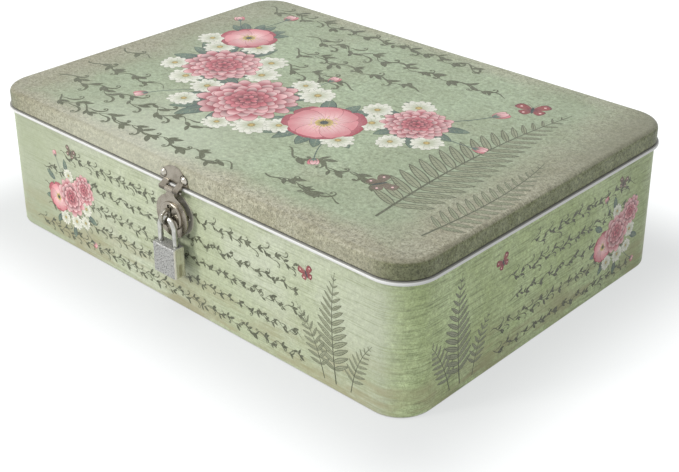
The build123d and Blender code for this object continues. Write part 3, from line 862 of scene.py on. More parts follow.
@dataclass
class Drawing:
    """Flat shapes laid over each other in order, later ones on top, in millimetres."""

    shapes: list[tuple[list[Point], Tint]] = field(default_factory=list)

    def fill(self, outline: Iterable[Point], tint: Tint | Colour, spot: Spot = Spot()) -> None:
        """Adds a filled outline, in a tint or in one colour."""
        tint = tint if isinstance(tint, Tint) else Tint(tint, tint)
        self.shapes.append(([spot.put(p) for p in outline], tint))

    def disc(
        self, centre: Point, radius: float, tint: Tint | Colour, spot: Spot = Spot(), sides: int = 10
    ) -> None:
        """Adds a filled disc.

        Args:
            centre: Its middle, in the motif.
            radius: Its radius.
            tint: Its colour.
            spot: Where the motif stands.
            sides: How many sides it has.
        """
        turns = (TURN * i / sides for i in range(sides))
        ring = [(centre[0] + radius * math.cos(t), centre[1] + radius * math.sin(t)) for t in turns]
        self.fill(ring, tint, spot)

    def stroke(
        self, line: Sequence[Point], width: float | Callable[[float], float], tint: Tint | Colour, spot: Spot
    ) -> None:
        """Adds a pen stroke along a line.

        Args:
            line: Its points.
            width: Its width, or the width as a function of the share of the way along.
            tint: Its colour.
            spot: Where it stands.
        """
        count = len(line) - 1
        left, right = [], []
        for i, (x, y) in enumerate(line):
            ahead, behind = line[min(i + 1, count)], line[max(i - 1, 0)]
            dx, dy = ahead[0] - behind[0], ahead[1] - behind[1]
            size = math.hypot(dx, dy) or 1.0
            half = (width(i / count) if callable(width) else width) / 2
            left.append((x - dy / size * half, y + dx / size * half))
            right.append((x + dy / size * half, y - dx / size * half))
        for i in range(count):
            self.fill((right[i], right[i + 1], left[i + 1], left[i]), tint, spot)

    def flatten(self, border: list[Point]) -> tuple[list[Point], list[tuple[Sequence[int], int]]]:
        """Cuts the shapes to the parts that show, inside a border.

        Args:
            border: Outline that the drawing may not leave, anticlockwise.

        Returns:
            The points, and each triangle's corners with the number of the shape it shows.
        """
        corners: list[Vector] = []
        rings: list[list[int]] = []
        outlines = [border] + [anticlockwise(outline) for outline, _ in self.shapes]
        for outline in outlines:
            rings.append(list(range(len(corners), len(corners) + len(outline))))
            corners.extend(Vector(p) for p in outline)
        points, _, faces, _, _, owners = delaunay_2d_cdt(corners, [], rings, 1, WELD, True)
        shown = [topmost(outlines, owner, middle_of(points, corner)) for corner, owner in zip(faces, owners)]
        beside: dict[tuple[int, int], int] = {}
        kept: set[tuple[int, int]] = set()
        for corner, shape in zip(faces, shown):
            for a, b in zip(corner, (corner[1], corner[2], corner[0])):
                edge = (min(a, b), max(a, b))
                if beside.setdefault(edge, shape) != shape:
                    kept.add(edge)
        used = sorted({i for edge in kept for i in edge})
        index = {old: new for new, old in enumerate(used)}
        edges = [(index[a], index[b]) for a, b in kept]
        points_left, _, clean, _, _, _ = delaunay_2d_cdt([points[i] for i in used], edges, [], 0, WELD, True)
        finder = BVHTree.FromPolygons([(p[0], p[1], 0.0) for p in points], faces)
        triangles = []
        for corner in clean:
            x, y = middle_of(points_left, corner)
            found = finder.ray_cast(Vector((x, y, 1.0)), Vector((0.0, 0.0, -1.0)))[2]
            if found is not None and shown[found] >= 0:
                triangles.append((corner, shown[found]))
        return points_left, triangles

    def mesh(self, name: str, face: "Face", lift: float) -> bpy.types.Object:
        """Flattens the drawing to one layer and lays it on a face of the box.

        Args:
            name: The piece's name.
            face: The face that carries it, and whose border cuts it off.
            lift: How far it stands off the tinplate.

        Returns:
            The piece, with a colour at every corner.
        """
        points, triangles = self.flatten(face.border())
        mesh = bpy.data.meshes.new(name)
        places = [face.put(p[0], p[1], lift) for p in points]
        mesh.from_pydata(places, [], [corner for corner, _ in triangles])
        layer = mesh.color_attributes.new(COLOUR_LAYER, "FLOAT_COLOR", "CORNER")
        colours = (self.shapes[shape][1].at(points[i]) for corner, shape in triangles for i in corner)
        for entry, colour in zip(layer.data, colours):
            entry.color = colour
        return placed(name, mesh)


class Side(Enum):
    """The faces of the box that carry print."""

    LID = "lid"
    FRONT = "front"
    RIGHT = "right"
    BACK = "back"
    LEFT = "left"


@dataclass(frozen=True)
class Face:
    """A flat face of the box, with x to the right and y up as one looks at it."""

    side: Side
    form: TinForm

    def half(self) -> float:
        """Half the face's width with its corners, in metres."""
        return self.form.half_length if self.side in (Side.FRONT, Side.BACK) else self.form.half_depth

    def border(self) -> list[Point]:
        """Finds the flat part of the face.

        Returns:
            Its outline, in millimetres.
        """
        form = self.form
        if self.side is Side.LID:
            inset = form.lid_round - form.lid_proud + 0.2 * MM
            radius = (form.corner - inset) / MM
            far_x, far_y = ((half - inset) / MM - radius for half in (form.half_length, form.half_depth))
            return [
                (far_x * sx + radius * math.cos(turn), far_y * sy + radius * math.sin(turn))
                for sx, sy, first in ((1, 1, 0.0), (-1, 1, 0.25), (-1, -1, 0.5), (1, -1, 0.75))
                for turn in (TURN * (first + i / 32) for i in range(9))
            ]
        wide = (self.half() - form.corner) / MM - 0.3
        low, high = 2.0, form.bead_low / MM - 0.9
        return [(-wide, low), (wide, low), (wide, high), (-wide, high)]

    def put(self, x: float, y: float, lift: float) -> Point3:
        """Takes a point of the face to the box.

        Args:
            x: Millimetres to the right.
            y: Millimetres up.
            lift: Metres off the tinplate.

        Returns:
            The place, in metres.
        """
        x, y = x * MM, y * MM
        out_x, out_y = self.form.half_length + lift, self.form.half_depth + lift
        return {
            Side.LID: (x, y, self.form.lid_top + lift),
            Side.FRONT: (x, -out_y, y),
            Side.RIGHT: (out_x, x, y),
            Side.BACK: (-x, out_y, y),
            Side.LEFT: (-out_x, -x, y),
        }[self.side]


@dataclass(frozen=True)
class Palette:
    """The print's colours."""

    rose: Colour = rgb(168, 62, 82)
    pink: Colour = rgb(218, 138, 146)
    blush: Colour = rgb(240, 200, 200)
    wine: Colour = rgb(112, 40, 56)
    cream: Colour = rgb(240, 239, 228)
    vein: Colour = rgb(158, 162, 140)
    shade: Colour = rgb(196, 200, 176)
    straw: Colour = rgb(222, 196, 118)
    bark: Colour = rgb(96, 84, 62)
    slate: Colour = rgb(66, 88, 88)
    moss: Colour = rgb(104, 128, 108)
    night: Colour = rgb(40, 54, 56)
    ink: Colour = rgb(80, 84, 62)
    faint_ink: Colour = rgb(84, 89, 64)
    wash: Colour = rgb(146, 151, 124)
    brick: Colour = rgb(150, 66, 66)
    umber: Colour = rgb(112, 96, 84)


HUES = Palette()


def toned(colour: Colour, share: float) -> Colour:
    """The colour made lighter or darker by a share."""
    return colour[0] * share, colour[1] * share, colour[2] * share


@dataclass(frozen=True)
class Petal:
    """One petal: a dark rim, a shaded blade and fine streaks."""

    length: float
    width: float
    front: float
    back: float
    rim: Colour
    root: Colour
    tip: Colour
    vein: Colour
    veins: int = 3
    rim_width: float = 0.28
    shade_from: float = 0.0

    def draw(self, drawing: Drawing, spot: Spot) -> None:
        """Draws the petal.

        Args:
            drawing: The drawing it goes into.
            spot: The flower's middle, and the way the petal points.
        """
        drawing.fill(lens(self.length, self.width, self.front, self.back), self.rim, spot)
        begin = self.length * self.shade_from * spot.scale
        spread = ((spot.x, spot.y), self.length * spot.scale - begin, begin)
        rim = self.rim_width
        blade = lens(self.length - 1.4 * rim, self.width - 2 * rim, self.front, self.back)
        blade = [(x + 0.5 * rim, y) for x, y in blade]
        drawing.fill(blade, Tint(self.root, self.tip, *spread), spot)
        first, last = max(0.10, self.shade_from), 0.90
        for i in range(self.veins):
            lean = (i + 0.5) / self.veins - 0.5
            left, right = [], []
            for s in (0.0, 0.5, 1.0):
                along = first + (last - first) * s * (1 - 0.5 * abs(lean))
                middle = self.width * lean * 1.25 * math.sin(math.pi * along) ** 0.7
                half = rim * (0.5 - 0.4 * s)
                left.append((self.length * along, middle + half))
                right.append((self.length * along, middle - half))
            drawing.fill(right + left[::-1], Tint(self.vein, self.tip, *spread), spot)


def whorl(
    rng: random.Random, spot: Spot, count: int, ring: int, wobble: float, light: Point
) -> Iterator[tuple[Spot, float]]:
    """Goes round a flower, one petal at a time, with odd rings half a petal on.

    Args:
        rng: Source of the flower's small differences.
        spot: Where the flower stands.
        count: How many petals the ring has.
        ring: The ring's number.
        wobble: How far a petal may turn from its place.
        light: The least and the greatest brightness of a petal.

    Yields:
        A petal's spot and its brightness.
    """
    for i in range(count):
        turn = spot.turn + TURN * (i + 0.5 * (ring % 2)) / count + rng.uniform(-wobble, wobble)
        yield Spot(spot.x, spot.y, turn), rng.uniform(*light)


@dataclass(frozen=True)
class Dahlia:
    """A full flower of many pointed petals in rings, each with its count, reach and width."""

    radius: float
    seed: int
    rings: tuple[tuple[int, float, float], ...] = (
        (16, 1.00, 0.34), (16, 0.88, 0.32), (15, 0.74, 0.29), (13, 0.60, 0.26), (12, 0.46, 0.22),
        (9, 0.33, 0.18), (7, 0.21, 0.13),
    )

    def draw(self, drawing: Drawing, spot: Spot) -> None:
        """Draws the flower, outer petals first.

        Args:
            drawing: The drawing it goes into.
            spot: Where it stands, and the way it points.
        """
        rng = random.Random(self.seed)
        size = self.radius
        for ring, (count, reach, width) in enumerate(self.rings):
            depth = ring / (len(self.rings) - 1)
            inner = self.rings[ring + 1][1] if ring + 1 < len(self.rings) else reach * 0.4
            veins = (4 if depth < 0.6 else 2) if size > BROAD_FLOWER else 1
            for place, light in whorl(rng, spot, count, ring, 0.07, (0.84, 1.06)):
                Petal(
                    size * reach * rng.uniform(0.92, 1.06),
                    size * width * rng.uniform(0.90, 1.12), 0.95, 0.50,
                    rim=toned(HUES.rose if depth < 0.75 else HUES.wine, rng.uniform(0.8, 1.1)),
                    root=toned(HUES.wine if ring % 2 else HUES.rose, light),
                    tip=toned(HUES.blush if depth < 0.55 else HUES.pink, light),
                    vein=toned(HUES.rose, light),
                    veins=veins, rim_width=0.0115 * size + 0.02, shade_from=inner / reach * 0.80,
                ).draw(drawing, place)
        drawing.disc((0.0, 0.0), size * 0.06, HUES.wine, spot)


SMALL_RINGS = ((12, 1.00, 0.46), (11, 0.78, 0.42), (9, 0.57, 0.34), (7, 0.38, 0.26), (5, 0.22, 0.18))


@dataclass(frozen=True)
class Anemone:
    """An open flower of broad petals round a dark eye with stamens."""

    radius: float
    seed: int
    petals: int = 6

    def draw(self, drawing: Drawing, spot: Spot) -> None:
        """Draws two rings of petals, then the eye.

        Args:
            drawing: The drawing it goes into.
            spot: Where it stands, and the way it points.
        """
        rng = random.Random(self.seed)
        size, broad = self.radius, self.radius > BROAD_FLOWER
        for ring in range(2):
            for place, light in whorl(rng, spot, self.petals, ring, 0.08, (0.86, 1.06)):
                Petal(
                    size * (1.0 - 0.12 * ring) * rng.uniform(0.92, 1.05),
                    size * 0.80 * rng.uniform(0.92, 1.08), 0.70, 0.30,
                    rim=toned(HUES.rose, rng.uniform(0.75, 1.0)),
                    root=toned(HUES.blush, light),
                    tip=toned(HUES.pink if ring else HUES.rose, light),
                    vein=toned(HUES.pink, light),
                    veins=9 if broad else 5, rim_width=0.010 * size + 0.05, shade_from=0.30,
                ).draw(drawing, place)
        eye = size * 0.22
        drawing.disc((0, 0), eye, Tint(HUES.bark, HUES.straw, (spot.x, spot.y), eye), spot, 18)
        count = 30 if broad else 14
        for i in range(count):
            turn, far = TURN * i / count + rng.uniform(-0.1, 0.1), size * rng.uniform(0.20, 0.38)
            tip = (far * math.cos(turn), far * math.sin(turn))
            drawing.stroke([(0, 0), (tip[0] / 2, tip[1] / 2), tip], 0.006 * size + 0.05, HUES.bark, spot)
            drawing.disc(tip, 0.018 * size + 0.10, HUES.straw, spot, 6)
        drawing.disc((0, 0), size * 0.10, HUES.night, spot)


@dataclass(frozen=True)
class Daisy:
    """A small white flower with slim petals."""

    radius: float
    seed: int
    petals: int = 12
    dots: int = 9

    def draw(self, drawing: Drawing, spot: Spot) -> None:
        """Draws two rings of white petals and a yellow eye.

        Args:
            drawing: The drawing it goes into.
            spot: Where it stands, and the way it points.
        """
        rng = random.Random(self.seed)
        size = self.radius
        for ring in range(2):
            for place, light in whorl(rng, spot, self.petals, ring, 0.07, (0.86, 1.0)):
                Petal(
                    size * (1.0 - 0.16 * ring) * rng.uniform(0.90, 1.06), size * 0.36, 0.70, 0.32,
                    rim=HUES.vein, root=HUES.shade, tip=toned(HUES.cream, light), vein=HUES.vein,
                    veins=2 if size > 7 else 0, rim_width=0.009 * size + 0.05, shade_from=0.22,
                ).draw(drawing, place)
        eye = size * 0.20
        drawing.disc((0, 0), eye, Tint(HUES.straw, HUES.bark, (spot.x, spot.y), eye * 1.5), spot)
        for turn in (TURN * i / self.dots for i in range(self.dots)):
            dot = (0.6 * eye * math.cos(turn), 0.6 * eye * math.sin(turn))
            drawing.disc(dot, 0.02 * size + 0.05, HUES.bark, spot, 5)


@dataclass(frozen=True)
class Leaf:
    """A dark leaf with a midrib and side veins."""

    length: float
    width: float

    def draw(self, drawing: Drawing, spot: Spot) -> None:
        """Draws the leaf from its root at the spot.

        Args:
            drawing: The drawing it goes into.
            spot: Where it stands, and the way it points.
        """
        size = self.length
        outer = lens(size, self.width, 0.75, 0.85)
        drawing.fill(outer, HUES.night, spot)
        blade = [(x * 0.975 + 0.1, y * 0.90) for x, y in outer]
        drawing.fill(blade, Tint(HUES.slate, HUES.moss, (spot.x, spot.y), size * 1.3), spot)
        thin = 0.012 * size + 0.08
        midrib = [(0.0, 0.0), (size * 0.5, 0.0), (size * 0.96, 0.0)]
        drawing.stroke(midrib, lambda s: thin * (1.4 - s), HUES.wash, spot)
        for i in range(1, 6):
            at = size * (0.08 + 0.14 * i)
            rise = self.width * 0.36 * math.sin(math.pi * (0.12 + 0.14 * i))
            for side in (-1, 1):
                line = [(at, 0.0), (at + size * 0.05, side * rise * 0.6), (at + size * 0.12, side * rise)]
                drawing.stroke(line, lambda s: thin * (0.7 - 0.4 * s), HUES.wash, spot)


@dataclass(frozen=True)
class Bud:
    """A closed flower on a curved stem."""

    size: float
    stem: float
    bend: float = 0.5

    def draw(self, drawing: Drawing, spot: Spot) -> None:
        """Draws the stem from the spot, then the bud on its end.

        Args:
            drawing: The drawing it goes into.
            spot: Where it stands, and the way it points.
        """
        size = self.size
        line = [(self.stem * s, self.bend * self.stem * 0.3 * s * s) for s in (i / 8 for i in range(9))]
        drawing.stroke(line, 0.05 * size + 0.12, HUES.slate, spot)
        end = spot.put(line[-1])
        turn = spot.turn + math.atan2(self.bend * 0.6, 1.0)
        for lean, rim, tip in (
            (-0.28, HUES.rose, HUES.pink), (0.28, HUES.rose, HUES.blush), (0.0, HUES.wine, HUES.blush),
        ):
            petal = Petal(size, size * 0.52, 0.55, 0.55, rim, HUES.rose, tip, HUES.rose, 3, 0.03 * size)
            petal.draw(drawing, Spot(*end, turn + lean))
        tint = Tint(HUES.slate, HUES.moss, end, size * 0.5)
        for lean in (-0.55, 0.0, 0.55):
            drawing.fill(lens(size * 0.52, size * 0.18, 0.5, 0.9), tint, Spot(*end, turn + lean))


@dataclass(frozen=True)
class Butterfly:
    """A small butterfly seen from above."""

    span: float
    wing: Colour
    edge: Colour

    def draw(self, drawing: Drawing, spot: Spot) -> None:
        """Draws the wings, their cells and the body.

        Args:
            drawing: The drawing it goes into.
            spot: Where it stands, and the way it points.
        """
        half = self.span / 2
        for side in (-1, 1):
            for turn, length, width in ((0.62, 1.0, 0.62), (-0.66, 0.72, 0.60)):
                lean = math.pi / 2 - side * (math.pi / 2 - turn)
                wing = Spot(spot.x, spot.y, spot.turn + lean, spot.scale)
                outer = lens(half * length, half * width, 0.75, 0.28)
                drawing.fill(outer, self.edge, wing)
                shade = Tint(self.edge, self.wing, (spot.x, spot.y), half * 0.5)
                drawing.fill([(x * 0.90, y * 0.86) for x, y in outer], shade, wing)
                for vein in (-0.24, -0.08, 0.08, 0.24):
                    end = (half * length * 0.88, half * width * vein * 1.7)
                    line = [(0, 0), (end[0] / 2, end[1] * 0.6), end]
                    drawing.stroke(line, 0.05 + 0.012 * half, self.edge, wing)
                drawing.disc((half * length * 0.70, 0.0), half * 0.07, HUES.blush, wing, 8)
            feeler = [(0.0, half * 0.2), (side * half * 0.14, half * 0.55), (side * half * 0.30, half * 0.78)]
            drawing.stroke(feeler, 0.06 + 0.014 * half, self.edge, spot)
        body = Spot(*spot.put((0.0, -half * 0.42)), spot.turn + math.pi / 2, spot.scale)
        drawing.fill(lens(half * 0.78, half * 0.15, 0.4, 0.4), HUES.night, body)


@dataclass(frozen=True)
class Fern:
    """A fern frond in pen and ink, with washed leaflets."""

    length: float
    bend: float
    spread: float
    pairs: int

    def draw(self, drawing: Drawing, spot: Spot) -> None:
        """Draws the frond from its root at the spot.

        Args:
            drawing: The drawing it goes into.
            spot: Where it stands, and the way it points.
        """
        stem = []
        x = y = 0.0
        step = self.length / self.pairs
        for i in range(self.pairs + 1):
            heading = self.bend * (i / self.pairs) ** 1.4
            stem.append((x, y, heading))
            x, y = x + step * math.cos(heading), y + step * math.sin(heading)
        thin = 0.003 * self.length + 0.16
        for i, (x, y, heading) in enumerate(stem[2:], start=2):
            share = i / self.pairs
            swell = math.sin(math.pi * min(1.0, 0.16 + 0.84 * share)) ** 0.8 * 0.92 + 0.08
            size = self.spread * swell * (1.12 - share * 0.5)
            for side in (-1, 1):
                lean = heading + side * (1.18 - 0.45 * share)
                leaflet = Spot(*spot.put((x, y)), spot.turn + lean, spot.scale)
                outer = lens(size, size * 0.25, 0.45, 0.75)
                drawing.fill(outer, HUES.ink, leaflet)
                drawing.fill([(px * 0.93 + size * 0.025, py * 0.74) for px, py in outer], HUES.wash, leaflet)
                drawing.stroke([(0, 0), (size * 0.5, 0), (size * 0.95, 0)], thin * 0.6, HUES.ink, leaflet)
                for cut in (0.22, 0.36, 0.50, 0.64, 0.78):
                    tick = [(size * cut, 0.0), (size * (cut + 0.09), side * size * 0.075)]
                    drawing.stroke(tick, thin * 0.5, HUES.ink, leaflet)
        drawing.stroke([(x, y) for x, y, _ in stem], lambda s: thin * (2.4 - 1.6 * s), HUES.ink, spot)


@dataclass(frozen=True)
class Tendrils:
    """A row of climbing tendrils in pen and ink: a wavy stem with curls and small leaves."""

    length: float
    wave: float
    height: float
    pen: float
    seed: int
    ink: Colour

    def curl(self, rng: random.Random, x: float, y: float, side: int) -> list[Point]:
        """Line of one curl, which winds in from the stem.

        Args:
            rng: Source of the row's small differences.
            x: Where it leaves the stem.
            y: Where it leaves the stem.
            side: 1 to rise from the stem, -1 to hang from it.

        Returns:
            The curl's points.
        """
        heading = rng.uniform(0.30, 0.60) * side
        turns = rng.uniform(1.0, 1.5)
        size = self.height * rng.uniform(1.3, 2.0)
        steps = 22
        points = [(x, y)]
        for i in range(steps):
            share = i / steps
            back = -1 if share < 0.16 else 1
            heading += side * turns * TURN * (0.35 + 1.9 * share * share) / steps * back
            step = size / steps * (1.45 - 1.15 * share)
            x, y = x + step * math.cos(heading), y + step * math.sin(heading)
            points.append((x, y))
        return points

    def draw(self, drawing: Drawing, spot: Spot) -> None:
        """Draws the row from the spot to the right.

        Args:
            drawing: The drawing it goes into.
            spot: Where it stands, and the way it points.
        """
        rng = random.Random(self.seed)
        count = max(8, int(self.length / self.wave * 10))
        phase = rng.uniform(0, TURN)

        def stem(x: float) -> float:
            """Height of the stem at x."""
            slow = 1 + 0.35 * math.sin(x / self.wave * 0.9 + phase)
            return 0.24 * self.height * slow * math.sin(TURN * x / self.wave + phase)

        def stem_width(s: float) -> float:
            """Width of the stem, which swells once a wave."""
            return self.pen * (0.75 + 0.35 * math.sin(s * self.length / self.wave * TURN))

        def curl_width(s: float) -> float:
            """Width of a curl, which swells near its middle."""
            return self.pen * (0.5 + 1.0 * math.sin(math.pi * min(1.0, s * 1.3)) ** 2)

        line = [(self.length * i / count, stem(self.length * i / count)) for i in range(count + 1)]
        drawing.stroke(line, stem_width, self.ink, spot)
        x = self.wave * rng.uniform(0.1, 0.4)
        side = 1
        while x < self.length - self.wave * 0.5:
            points = self.curl(rng, x, stem(x), side)
            drawing.stroke(points, curl_width, self.ink, spot)
            drawing.disc(points[-1], self.pen * 0.75, self.ink, spot, 7)
            for lean in (0.45, 0.95, -0.35):
                at = x + self.wave * rng.uniform(0.10, 0.40)
                size = self.height * rng.uniform(0.42, 0.66)
                turn = spot.turn - side * (lean + rng.uniform(-0.15, 0.15))
                leaf = Spot(*spot.put((at, stem(at))), turn, spot.scale)
                drawing.fill(lens(size, size * 0.42, 0.7, 0.9), self.ink, leaf)
            x += self.wave * rng.uniform(0.42, 0.60)
            side = -side


@dataclass
class Decoration:
    """The drawn print on one face of the box: pen work, and flowers above it."""

    face: Face
    body: str
    slot: str
    ink: bpy.types.Material
    blooms: ClassVar[str] = "flowers"

    def lay(self, drawing: Drawing, what: str, lift: float) -> None:
        """Lays a drawing on the face as one piece.

        Args:
            drawing: The drawing, in the face's millimetres.
            what: What it shows, for its name.
            lift: How far it stands off the tinplate.
        """
        name = f"print_{self.face.side.value}_{what}"
        piece = drawing.mesh(name, self.face, lift)
        piece.data.materials.append(self.ink)
        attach(piece, self.body)
        log.info("%s: %d faces on %s", name, len(piece.data.polygons), self.body)

    def build(self) -> None:
        """Lays both drawings."""
        self.lay(self.pen_work(), "pen_work", INK_LIFT)
        self.lay(self.flowers(), self.blooms, FLOWER_LIFT)


@dataclass
class LidPrint(Decoration):
    """Print on the lid: a hanging garland of flowers, ferns at one end and rows of tendrils."""

    def flowers(self) -> Drawing:
        """Draws the garland.

        Returns:
            The drawing, in which the leaves lie lowest.
        """
        art = Drawing()
        rng = random.Random(61)
        for x, y, radius, out in (
            (-112, 46, 19, 1.9), (-88, 4, 27, 2.6), (-36, -28, 31, 3.9), (22, -22, 25, 4.9),
            (62, 12, 22, 5.6),
        ):
            for lean in (-1.15, -0.75, -0.3, 0.1, 0.5, 0.95, 2.6, 3.1, 3.6):
                turn = out + lean + rng.uniform(-0.12, 0.12)
                root = (x + radius * 0.55 * math.cos(turn), y + radius * 0.55 * math.sin(turn))
                leaf = Leaf(radius * rng.uniform(0.72, 0.95), radius * rng.uniform(0.30, 0.40))
                leaf.draw(art, Spot(*root, turn))
        for x, y, turn, size, stem in (
            (-118, 62, 1.35, 11, 22), (-126, 50, 2.2, 9, 18), (74, 28, 0.85, 11, 24), (84, 8, -0.15, 9, 20),
            (-70, -40, 3.9, 9, 26), (40, -42, 5.1, 8, 20), (-20, 6, 1.3, 9, 18),
        ):
            Bud(size, stem).draw(art, Spot(x, y, turn))
        for i, (x, y, radius) in enumerate((
            (-128, 28, 10), (-92, 36, 12), (-112, 20, 11), (-66, 22, 11), (-112, -18, 10), (-90, -28, 12),
            (-68, -30, 11), (-56, 4, 12), (-64, -52, 10), (-8, 4, 12), (-6, -52, 12), (-24, -62, 9),
            (6, -42, 10), (44, -34, 10), (42, -4, 11), (48, 30, 11), (32, 12, 10), (82, -4, 10),
            (66, -16, 9), (-24, 10, 9),
        )):
            Daisy(radius, 40 + i).draw(art, Spot(x, y, 0.7 * i))
        for flower, x, y, turn in (
            (Anemone(19, 11), -110, 44, 0.3), (Dahlia(21, 9), 62, 12, 0.2), (Dahlia(26, 8), -86, 0, 0.4),
            (Anemone(24, 12, 7), 22, -22, 0.1), (Dahlia(31, 7), -34, -28, 0.1),
        ):
            flower.draw(art, Spot(x, y, turn))
        return art

    def pen_work(self) -> Drawing:
        """Draws the tendrils, ferns and butterflies.

        Returns:
            The drawing.
        """
        art = Drawing()
        for x, y, length, seed in (
            (-146, 96, 190, 1), (-84, 72, 160, 2), (-74, 48, 106, 3), (-58, 25, 60, 4),
            (-154, -52, 70, 5), (-150, -77, 132, 6), (-122, -101, 150, 7), (30, -62, 70, 8),
            (44, -88, 52, 10), (-156, -24, 26, 11),
        ):
            Tendrils(length, 24, 13.5, 1.15, seed, HUES.faint_ink).draw(art, Spot(x, y, 0.03))
        for motif, x, y, turn in (
            (Fern(166, -0.30, 26, 22), 118, -86, 1.68), (Fern(104, 0.35, 15, 17), 147, -86, 1.46),
            (Butterfly(24, HUES.brick, HUES.wine), 98, 72, 0.5),
            (Butterfly(22, HUES.umber, HUES.bark), 96, -58, -0.5),
        ):
            motif.draw(art, Spot(x, y, turn))
        return art


@dataclass
class WallPrint(Decoration):
    """Print on a wall: rows of tendrils, a posy, a fern and butterflies."""

    half_width: float
    posy_at: float
    fern_at: float
    seed: int
    blooms: ClassVar[str] = "posy"

    def flowers(self) -> Drawing:
        """Draws the posy, a small bunch of flowers.

        Returns:
            The drawing.
        """
        art = Drawing()
        x, y, seed = self.posy_at, 34.0, self.seed
        for dx, dy, turn, length in (
            (-14, 8, 2.6, 9), (-16, -4, 3.3, 9), (-2, 16, 1.7, 9), (14, 12, 0.8, 9), (16, -6, -0.4, 9),
            (2, -18, 4.6, 8), (-10, -14, 4.0, 8),
        ):
            Leaf(length, 4.0).draw(art, Spot(x + dx, y + dy, turn))
        for motif, dx, dy, turn in (
            (Bud(4.5, 12), 10, -14, -0.9), (Bud(4.5, 11, -0.5), -6, 14, 2.2),
            (Daisy(5.6, seed), 4, -14, 0), (Daisy(5.0, seed + 1), -7, -15, 1),
            (Daisy(5.2, seed + 2), 15, -2, 2), (Daisy(4.6, seed + 3), 13, -12, 3),
            (Daisy(4.6, seed + 4), 0, 15, 4),
            (Anemone(10, seed), -12, -3, 0.5), (Dahlia(12.5, seed + 1, SMALL_RINGS), 1, 1, 0.2),
            (Dahlia(9.5, seed + 2, SMALL_RINGS), 14, 10, 0.2),
        ):
            motif.draw(art, Spot(x + dx, y + dy, turn))
        return art

    def pen_work(self) -> Drawing:
        """Draws the rows, the fern and the butterflies.

        Returns:
            The drawing.
        """
        art = Drawing()
        rng = random.Random(self.seed)
        left, right = -self.half_width + 6, self.half_width - 8
        if self.fern_at > 0:
            right = self.fern_at - 20
        else:
            left = self.fern_at + 18
        for i, y in enumerate((62, 49, 36, 23, 10)):
            start = left + rng.uniform(0, 18) + (0 if i else 30)
            length = right - rng.uniform(0, 16) - start
            Tendrils(length, 13.0, 6.6, 0.46, self.seed + i, HUES.ink).draw(art, Spot(start, y, 0.0))
        beside = self.fern_at - 26 * math.copysign(1, self.fern_at)
        for motif, x, y, turn in (
            (Fern(64, -0.30, 13, 15), self.fern_at - 6, 5, 1.70),
            (Fern(42, 0.55, 9, 11), self.fern_at - 14, 5, 1.85),
            (Fern(36, -0.60, 8, 10), self.fern_at + 4, 5, 1.40),
            (Butterfly(12, HUES.brick, HUES.wine), beside, 61, 0.4),
            (Butterfly(11, HUES.umber, HUES.bark), self.posy_at + 4, 65, -0.3),
        ):
            motif.draw(art, Spot(x, y, turn))
        return art


@dataclass
class TinBox:
    """The drawn sheet box: body, lid, base plate and their print."""

    form: TinForm
    walls: tuple[tuple[Side, float, float, int], ...] = (
        (Side.FRONT, -98.0, 124.0, 100), (Side.RIGHT, 66.0, -66.0, 200),
        (Side.BACK, 36.0, -120.0, 300), (Side.LEFT, -62.0, 70.0, 400),
    )

    def build(self) -> None:
        """Dresses the sheet metal and lays the print."""
        dress("body_shell", BodyTin(self.form).material("printed_body_tin"))
        dress("lid_shell", LidTin(self.form).material("printed_lid_tin"))
        dress("base_plate", BareTin().material("bare_tin"))
        ink = PrintInk().material("print_ink")
        LidPrint(Face(Side.LID, self.form), "lid", "tin_printed_lid", ink).build()
        for side, posy_at, fern_at, seed in self.walls:
            face = Face(side, self.form)
            half_flat = (face.half() - self.form.corner - 0.5 * MM) / MM
            WallPrint(face, "box", "tin_printed_body", ink, half_flat, posy_at, fern_at, seed).build()


NICKEL = PlatedMetal((160, 153, 141), 0.24)


@dataclass
class Hardware:
    """Hinges, hasp, staple and padlock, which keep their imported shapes."""

    finishes: tuple[tuple[str, PlatedMetal | RivetedPlate | LockCaseMetal, tuple[str, ...]], ...] = (
        ("nickel_plate", NICKEL, (
            "hasp_strap", "hinge_left_body_leaf", "hinge_left_lid_leaf",
            "hinge_right_body_leaf", "hinge_right_lid_leaf",
        )),
        ("riveted_nickel", RivetedPlate(NICKEL, "hasp_lid_rivets", "hasp_pin"), ("hasp_lid_plate",)),
        ("bright_nickel", PlatedMetal((214, 210, 200), 0.30, metallic=0.55), ("staple_plate",)),
        ("nickel_eye", PlatedMetal((170, 166, 156), 0.18), ("staple_eye",)),
        ("steel_pin", PlatedMetal((140, 137, 130), 0.30), (
            "hasp_pin", "hinge_left_pin", "hinge_right_pin", "padlock_keeper_pin",
        )),
        ("polished_rivet", PlatedMetal((196, 191, 180), 0.14), (
            "hasp_lid_rivets", "staple_rivets", "hinge_body_rivets", "hinge_lid_rivets",
        )),
        ("chromed_shackle", PlatedMetal((196, 196, 190), 0.12), ("padlock_shackle",)),
        ("spring_wire", PlatedMetal((140, 140, 138), 0.35, (1.0, 1.0, 0.4)), (
            "padlock_shackle_spring", "padlock_latch_spring", "padlock_pin_springs",
        )),
        ("machined_brass", PlatedMetal((196, 168, 104), 0.28, (0.4, 2.0, 2.0)), (
            "padlock_plug", "padlock_latch", "padlock_key_pins", "padlock_driver_pins",
        )),
        ("pressed_cover", PlatedMetal(
            (172, 168, 144), 0.38, mark_grain=0.5, mark_depth=0.15, relief=0.02, metallic=0.6
        ), ("padlock_pin_cover",)),
        ("blasted_case", LockCaseMetal(), ("padlock_case",)),
    )

    def build(self) -> None:
        """Gives every metal node its finish."""
        for name, finish, nodes in self.finishes:
            material = finish.material(name)
            for node in nodes:
                dress(node, material)


